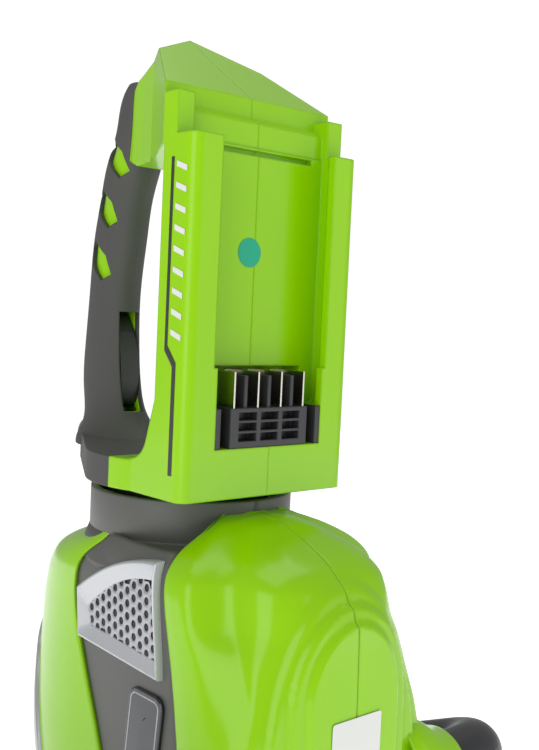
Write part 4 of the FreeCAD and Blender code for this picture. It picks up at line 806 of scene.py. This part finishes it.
@dataclass
class Vent:
    """The silver vent on each flank: a sloping bezel round a perforated plate."""
    workshop: Workshop
    panel: SidePanel
    pitch: float = 5.0
    hole: float = 1.55

    def loop(self, top: float, front: float, foot: float, back: float) -> list[Flat]:
        """The vent's outline in side view, drawn in by a different width along each edge.

        Args:
            top: how far the top edge is drawn in.
            front: how far the edge towards the crown is drawn in.
            foot: how far the bottom edge is drawn in.
            back: how far the edge towards the belly is drawn in.

        Returns:
            The outline's points as Y and Z.
        """
        head_low, head_high = (-45.0 + back, -22.6 - top), (7.4 - front, -43.3 - top * 0.9)
        line = []
        for step in range(15):
            share = step / 14
            y = head_low[0] + (head_high[0] - head_low[0]) * share
            z = head_low[1] + (head_high[1] - head_low[1]) * share + 4.6 * math.sin(math.pi * share) ** 0.9
            line.append((y, z))
        low_front, low_back = (4.6 - front, -63.4 + foot), (-52.9 + back, -65.7 + foot)
        line += [(head_high[0] + (low_front[0] - head_high[0]) * s / 6,
                  head_high[1] + (low_front[1] - head_high[1]) * s / 6) for s in range(1, 6)]
        line += [(low_front[0] + (low_back[0] - low_front[0]) * s / 12,
                  low_front[1] + (low_back[1] - low_front[1]) * s / 12) for s in range(13)]
        line += [(low_back[0] + (head_low[0] - low_back[0]) * s / 10,
                  low_back[1] + (head_low[1] - low_back[1]) * s / 10) for s in range(1, 10)]
        return line

    def bezel(self, side: int) -> list[list[Point]]:
        """Rings of the bezel, from its outer foot over the lip and down the slope to the plate.

        Args:
            side: -1 for the left, 1 for the right.

        Returns:
            The rings, from the outer foot in to the plate.
        """
        rings = []
        for top, front, foot, back, lift in (
            (-0.3, -0.3, -0.3, -0.3, -1.2), (0.0, 0.0, 0.0, 0.0, 1.6), (0.35, 0.35, 0.35, 0.3, 2.2),
            (1.0, 1.0, 1.0, 0.7, 2.5), (1.7, 1.7, 1.5, 1.0, 2.3), (6.6, 6.8, 5.4, 1.6, 0.95),
            (7.2, 7.4, 6.0, 1.9, 0.8), (7.4, 7.6, 6.2, 2.1, 0.3),
        ):
            rings.append([
                (side * (self.panel.surface(z) + 0.45 + lift), y, z)
                for y, z in self.loop(top, front, foot, back)
            ])
        return rings

    def inside(self, y: float, z: float) -> bool:
        """Whether a hole's middle lies in the plate's open area.

        Args:
            y: the hole's middle along Y.
            z: the hole's middle along Z.

        Returns:
            True where the middle is in the open area.
        """
        loop = self.loop(6.4, 6.6, 5.2, 1.2)
        crossings = 0
        for (y0, z0), (y1, z1) in zip(loop, loop[1:] + loop[:1]):
            if (z0 > z) != (z1 > z) and y < y0 + (z - z0) / (z1 - z0) * (y1 - y0):
                crossings += 1
        return crossings % 2 == 1

    def plate(self, side: int) -> bmesh.types.BMesh:
        """The perforated plate: one six-cornered cell with a round hole for every place in the pattern.

        Args:
            side: -1 for the left, 1 for the right.

        Returns:
            The plate's mesh.
        """
        shape = bmesh.new()
        row_step = self.pitch * math.sqrt(3) / 2
        corner = self.pitch / math.sqrt(3)
        lean = math.radians(-6)
        for row in range(-8, 9):
            for column in range(-9, 10):
                across = (column + (0.5 if row % 2 else 0.0)) * self.pitch
                up = row * row_step
                y = -20.0 + up * math.cos(lean) - across * math.sin(lean)
                z = -48.0 + across * math.cos(lean) + up * math.sin(lean)
                if not self.inside(y, z):
                    continue
                rims = []
                for radius, lift in ((corner, 0.75), (self.hole + 0.35, 0.75), (self.hole, 0.55),
                                     (self.hole, 0.3)):
                    rim = []
                    for step in range(12):
                        turn = math.radians(30 * step) + lean
                        reach = radius
                        if radius == corner:
                            reach = corner * math.cos(math.pi / 6) / math.cos(
                                math.radians((30 * step) % 60 - 30))
                        py, pz = y + reach * math.cos(turn), z + reach * math.sin(turn)
                        rim.append((side * (self.panel.surface(pz) + 0.45 + lift), py, pz))
                    rims.append(rim)
                grid_into(shape, rims, closed=True)
        return shape

    def build(self) -> None:
        """Makes the bezel, the plate and the dark gauze behind it, on both flanks."""
        for side, name in ((-1, "left"), (1, "right")):
            shape = bmesh.new()
            grid_into(shape, self.bezel(side), closed=True)
            self.workshop.piece(f"vent_bezel_{name}", shape, "silver_vent", "housing",
                                stands_for=[f"vent_grille_{name}"])
            self.workshop.piece(f"vent_plate_{name}", self.plate(side), "silver_vent", "housing",
                                finish="vent_plate")
            shape = bmesh.new()
            loop = self.loop(4.0, 4.0, 3.0, 1.0)
            slab_into(shape, [(side * (self.panel.surface(z) + 0.72), y, z) for y, z in loop],
                      (side * -0.3, 0, 0))
            self.workshop.piece(f"vent_gauze_{name}", shape, "motor_plastic", "housing")


# ---- trims and labels ----------------------------------------------------------------------------

def rounded_loop(low: Flat, high: Flat, radius: float, inset: float = 0.0) -> list[Flat]:
    """A rectangle with rounded corners, drawn in by an inset.

    Args:
        low: its low corner.
        high: its high corner.
        radius: the rounding of its corners.
        inset: how far every edge is drawn in.

    Returns:
        The outline, nine places to a corner.
    """
    bend = max(0.2, radius - inset)
    left, right = low[0] + inset + bend, high[0] - inset - bend
    foot, head = low[1] + inset + bend, high[1] - inset - bend
    corners = ((right, head, 0), (left, head, 90), (left, foot, 180), (right, foot, 270))
    return [
        (x + bend * math.cos(math.radians(start + 90 * step / 8)),
         y + bend * math.sin(math.radians(start + 90 * step / 8)))
        for x, y, start in corners for step in range(9)
    ]


@dataclass
class Trims:
    """The badge plates, the silver band across the crown, and the blank label on the belly."""
    workshop: Workshop
    housing: MotorHousing
    panel: SidePanel
    badge_low: Flat = (-56.5, -130.0)
    badge_high: Flat = (-34.5, -72.0)
    band_line: tuple[Flat, ...] = (
        (29, -130), (40, -112), (51, -97), (58, -86), (72, -76), (87, -71),
    )
    band_width: float = 15.0
    crown_peak: float = 86.8
    label_depth: float = 106.55
    bay_side: float = 44.05
    bay_floor: float = 36.12
    film: float = 0.15

    def badge(self, side: int, name: str) -> None:
        """One badge plate and the pale line inside its edge.

        Args:
            side: -1 for the left, 1 for the right.
            name: the side's name, "left" or "right".
        """
        shape = bmesh.new()
        rings = []
        for inset, lift in ((0.0, 0.3), (0.0, 1.3), (0.5, 1.7), (3.0, 1.75), (9.0, 1.8), (12.6, 1.8)):
            rings.append([
                (side * (self.panel.surface(z) + lift), y, z)
                for y, z in rounded_loop(self.badge_low, self.badge_high, 5.0, inset)
            ])
        grid_into(shape, rings, closed=True)
        self.workshop.piece(f"badge_gloss_{name}", shape, "dark_badge", "housing",
                            stands_for=[f"badge_plate_{name}"])
        shape = bmesh.new()
        rings = [[
            (side * (self.panel.surface(z) + lift), y, z)
            for y, z in rounded_loop(self.badge_low, self.badge_high, 5.0, inset)
        ] for inset, lift in ((1.7, 1.65), (1.75, 1.86), (2.3, 1.86), (2.35, 1.65))]
        grid_into(shape, rings, closed=True)
        self.workshop.piece(f"badge_line_{name}", shape, "silver_trim", "housing")

    def crown_band(self) -> None:
        """The silver band that runs over the crown, with a rolled edge above and below."""
        shape = bmesh.new()
        rows = []
        for share, lift in ((0.0, -0.6), (0.0, 0.8), (0.04, 1.35), (0.12, 1.6), (0.5, 1.7), (0.88, 1.6),
                            (0.96, 1.35), (1.0, 0.8), (1.0, -0.6)):
            row = []
            for step in range(97):
                turn = math.radians(20 + 140 * step / 96)
                z = along(self.band_line, self.crown_peak * math.sin(turn)) - self.band_width * share
                half = (along(self.housing.waist, z) + 0.4) * along(self.housing.crown_half, z)
                high = along(self.housing.crown_height, z)
                row.append(((half + lift) * math.cos(turn), (high + lift) * math.sin(turn), z))
            rows.append(row)
        grid_into(shape, rows)
        self.workshop.piece("crown_trim_band", shape, "silver_trim", "housing", stands_for=["crown_trim"])

    def label(self) -> None:
        """The blank label on the belly's flat panel."""
        shape = bmesh.new()
        outline = rounded_loop((-13.0, -116.0), (13.0, -74.0), 1.2)
        slab_into(shape, [(x, -self.label_depth, z) for x, z in outline], (0, -self.film, 0))
        self.workshop.piece("belly_label", shape, "silver_trim", "housing", finish="label_film")

    def bay_marks(self) -> None:
        """The plain round sticker on the bay's floor, and the stripe and slanted bars on its sides."""
        shape = bmesh.new()
        middle_x, middle_z, radius = -3, 98.5, 6
        ring = [
            (middle_x + radius * math.cos(turn), -self.bay_floor, middle_z + radius * math.sin(turn))
            for turn in (2 * math.pi * step / 48 for step in range(48))
        ]
        slab_into(shape, ring, (0, -0.12, 0))
        self.workshop.piece("bay_sticker", shape, "lock_plastic", "rear_handle", finish="teal_film")
        for side, name in ((-1, "left"), (1, "right")):
            shape = bmesh.new()
            stripe = ((-44.0, 10), (-41.8, 10), (-41.8, 52), (-36.5, 58), (-36.5, 132), (-38.2, 132),
                      (-38.2, 60), (-44.0, 53.5))
            lift = (side * self.film, 0, 0)
            slab_into(shape, [(side * self.bay_side, y, z) for y, z in stripe], lift)
            self.workshop.piece(f"bay_stripe_{name}", shape, "black_plastic", "rear_handle")
            shape = bmesh.new()
            for number in range(9):
                foot = 62 + number * 8.0
                bar = ((-46.5, foot), (-40.0, foot + 2.2), (-40.0, foot + 4.4), (-46.5, foot + 2.2))
                slab_into(shape, [(side * self.bay_side, y, z) for y, z in bar], lift)
            self.workshop.piece(f"bay_bars_{name}", shape, "silver_trim", "rear_handle",
                                finish="label_film")

    def build(self) -> None:
        """Makes every trim."""
        for side, name in ((-1, "left"), (1, "right")):
            self.badge(side, name)
        self.crown_band()
        self.label()
        self.bay_marks()


# ---- studio --------------------------------------------------------------------------------------

@dataclass
class Studio:
    """A white floor, white surroundings, soft boxes, and the camera."""
    floor_drop: float = 0.03
    floor_reach: float = 6.0
    camera_place: Point = (-0.2748, -0.3571, 0.0743)
    heading: float = 41.69
    tilt: float = 3.49
    roll: float = 2.63
    lens: float = 48.9

    def build(self) -> None:
        """Makes the floor, the lights and the camera."""
        self.floor()
        self.lights()
        self.camera()

    def floor(self) -> None:
        """A pale, faintly glowing floor just under the tip."""
        mesh = bpy.data.meshes.new("studio_floor")
        shape = bmesh.new()
        level = CAD_BOX[0].z - self.floor_drop
        reach = self.floor_reach
        corners = [shape.verts.new((x, y, level)) for x, y in ((-1, -1), (1, -1), (1, 1), (-1, 1))]
        for corner in corners:
            corner.co.x *= reach
            corner.co.y *= reach
        shape.faces.new(corners)
        shape.to_mesh(mesh)
        shape.free()
        floor = bpy.data.objects.new("studio_floor", mesh)
        bpy.context.scene.collection.objects.link(floor)
        material = bpy.data.materials.new("Studio white")
        material.use_nodes = True
        shader = material.node_tree.nodes["Principled BSDF"]
        shader.inputs["Base Color"].default_value = (0.92, 0.92, 0.92, 1.0)
        shader.inputs["Roughness"].default_value = 0.6
        shader.inputs["Emission Color"].default_value = (1.0, 1.0, 1.0, 1.0)
        shader.inputs["Emission Strength"].default_value = 0.95
        mesh.materials.append(material)

    def lights(self) -> None:
        """White surroundings with a large soft box at the left, one above and a weaker one at the right."""
        world = bpy.data.worlds.new("Studio")
        bpy.context.scene.world = world
        world.use_nodes = True
        sky = world.node_tree.nodes["Background"]
        sky.inputs["Color"].default_value = (1.0, 1.0, 1.0, 1.0)
        sky.inputs["Strength"].default_value = 0.36
        plain = world.node_tree.nodes.new("ShaderNodeBackground")
        plain.inputs["Color"].default_value = (1.0, 1.0, 1.0, 1.0)
        plain.inputs["Strength"].default_value = 1.05
        ray = world.node_tree.nodes.new("ShaderNodeLightPath")
        mix = world.node_tree.nodes.new("ShaderNodeMixShader")
        links = world.node_tree.links
        links.new(ray.outputs["Is Camera Ray"], mix.inputs["Fac"])
        links.new(sky.outputs["Background"], mix.inputs[1])
        links.new(plain.outputs["Background"], mix.inputs[2])
        links.new(mix.outputs["Shader"], world.node_tree.nodes["World Output"].inputs["Surface"])
        bpy.context.scene.view_settings.view_transform = "Standard"
        boxes = (
            ("left_box", (-1.5, -0.7, 0.5), 1.1, 11.0),
            ("top_box", (0.3, 0.1, 1.7), 1.2, 10.0),
            ("right_box", (1.1, -1.5, 0.1), 0.9, 3.0),
        )
        for name, place, size, power in boxes:
            lamp = bpy.data.lights.new(name, "AREA")
            lamp.shape = "RECTANGLE"
            lamp.size = size
            lamp.size_y = size * 1.5
            lamp.energy = power
            holder = bpy.data.objects.new(name, lamp)
            holder.location = place
            aim = Vector((0, 0, -0.05)) - Vector(place)
            holder.rotation_euler = aim.to_track_quat("-Z", "Y").to_euler()
            bpy.context.scene.collection.objects.link(holder)

    def camera(self) -> None:
        """The camera looks at the battery side, a little from the left and above the handle's foot."""
        turn, tilt, roll = (math.radians(angle) for angle in (self.heading, self.tilt, self.roll))
        ahead = Vector((math.sin(turn) * math.cos(tilt), math.cos(turn) * math.cos(tilt), -math.sin(tilt)))
        right = Vector((math.cos(turn), -math.sin(turn), 0))
        above = right.cross(ahead)
        rolled_right = right * math.cos(roll) + above * math.sin(roll)
        rolled_up = above * math.cos(roll) - right * math.sin(roll)
        pose = Matrix((rolled_right, rolled_up, -ahead)).transposed().to_4x4()
        pose.translation = Vector(self.camera_place)
        data = bpy.data.cameras.new("camera")
        data.lens = self.lens
        data.sensor_width = 36.0
        data.sensor_fit = "AUTO"
        data.clip_start = 0.01
        camera = bpy.data.objects.new("camera", data)
        camera.matrix_world = pose
        bpy.context.scene.collection.objects.link(camera)
        bpy.context.scene.camera = camera


def main() -> None:
    """Builds the looks in order."""
    logging.basicConfig(level=logging.INFO, format="%(message)s")
    Studio().build()
    paints = Paintbox()
    paints.dress_frame()
    workshop = Workshop(paints)
    housing = MotorHousing(workshop)
    housing.build()
    panel = SidePanel(workshop, housing)
    panel.build()
    Vent(workshop, panel).build()
    Trims(workshop, housing, panel).build()


if __name__ == "__main__":
    main()
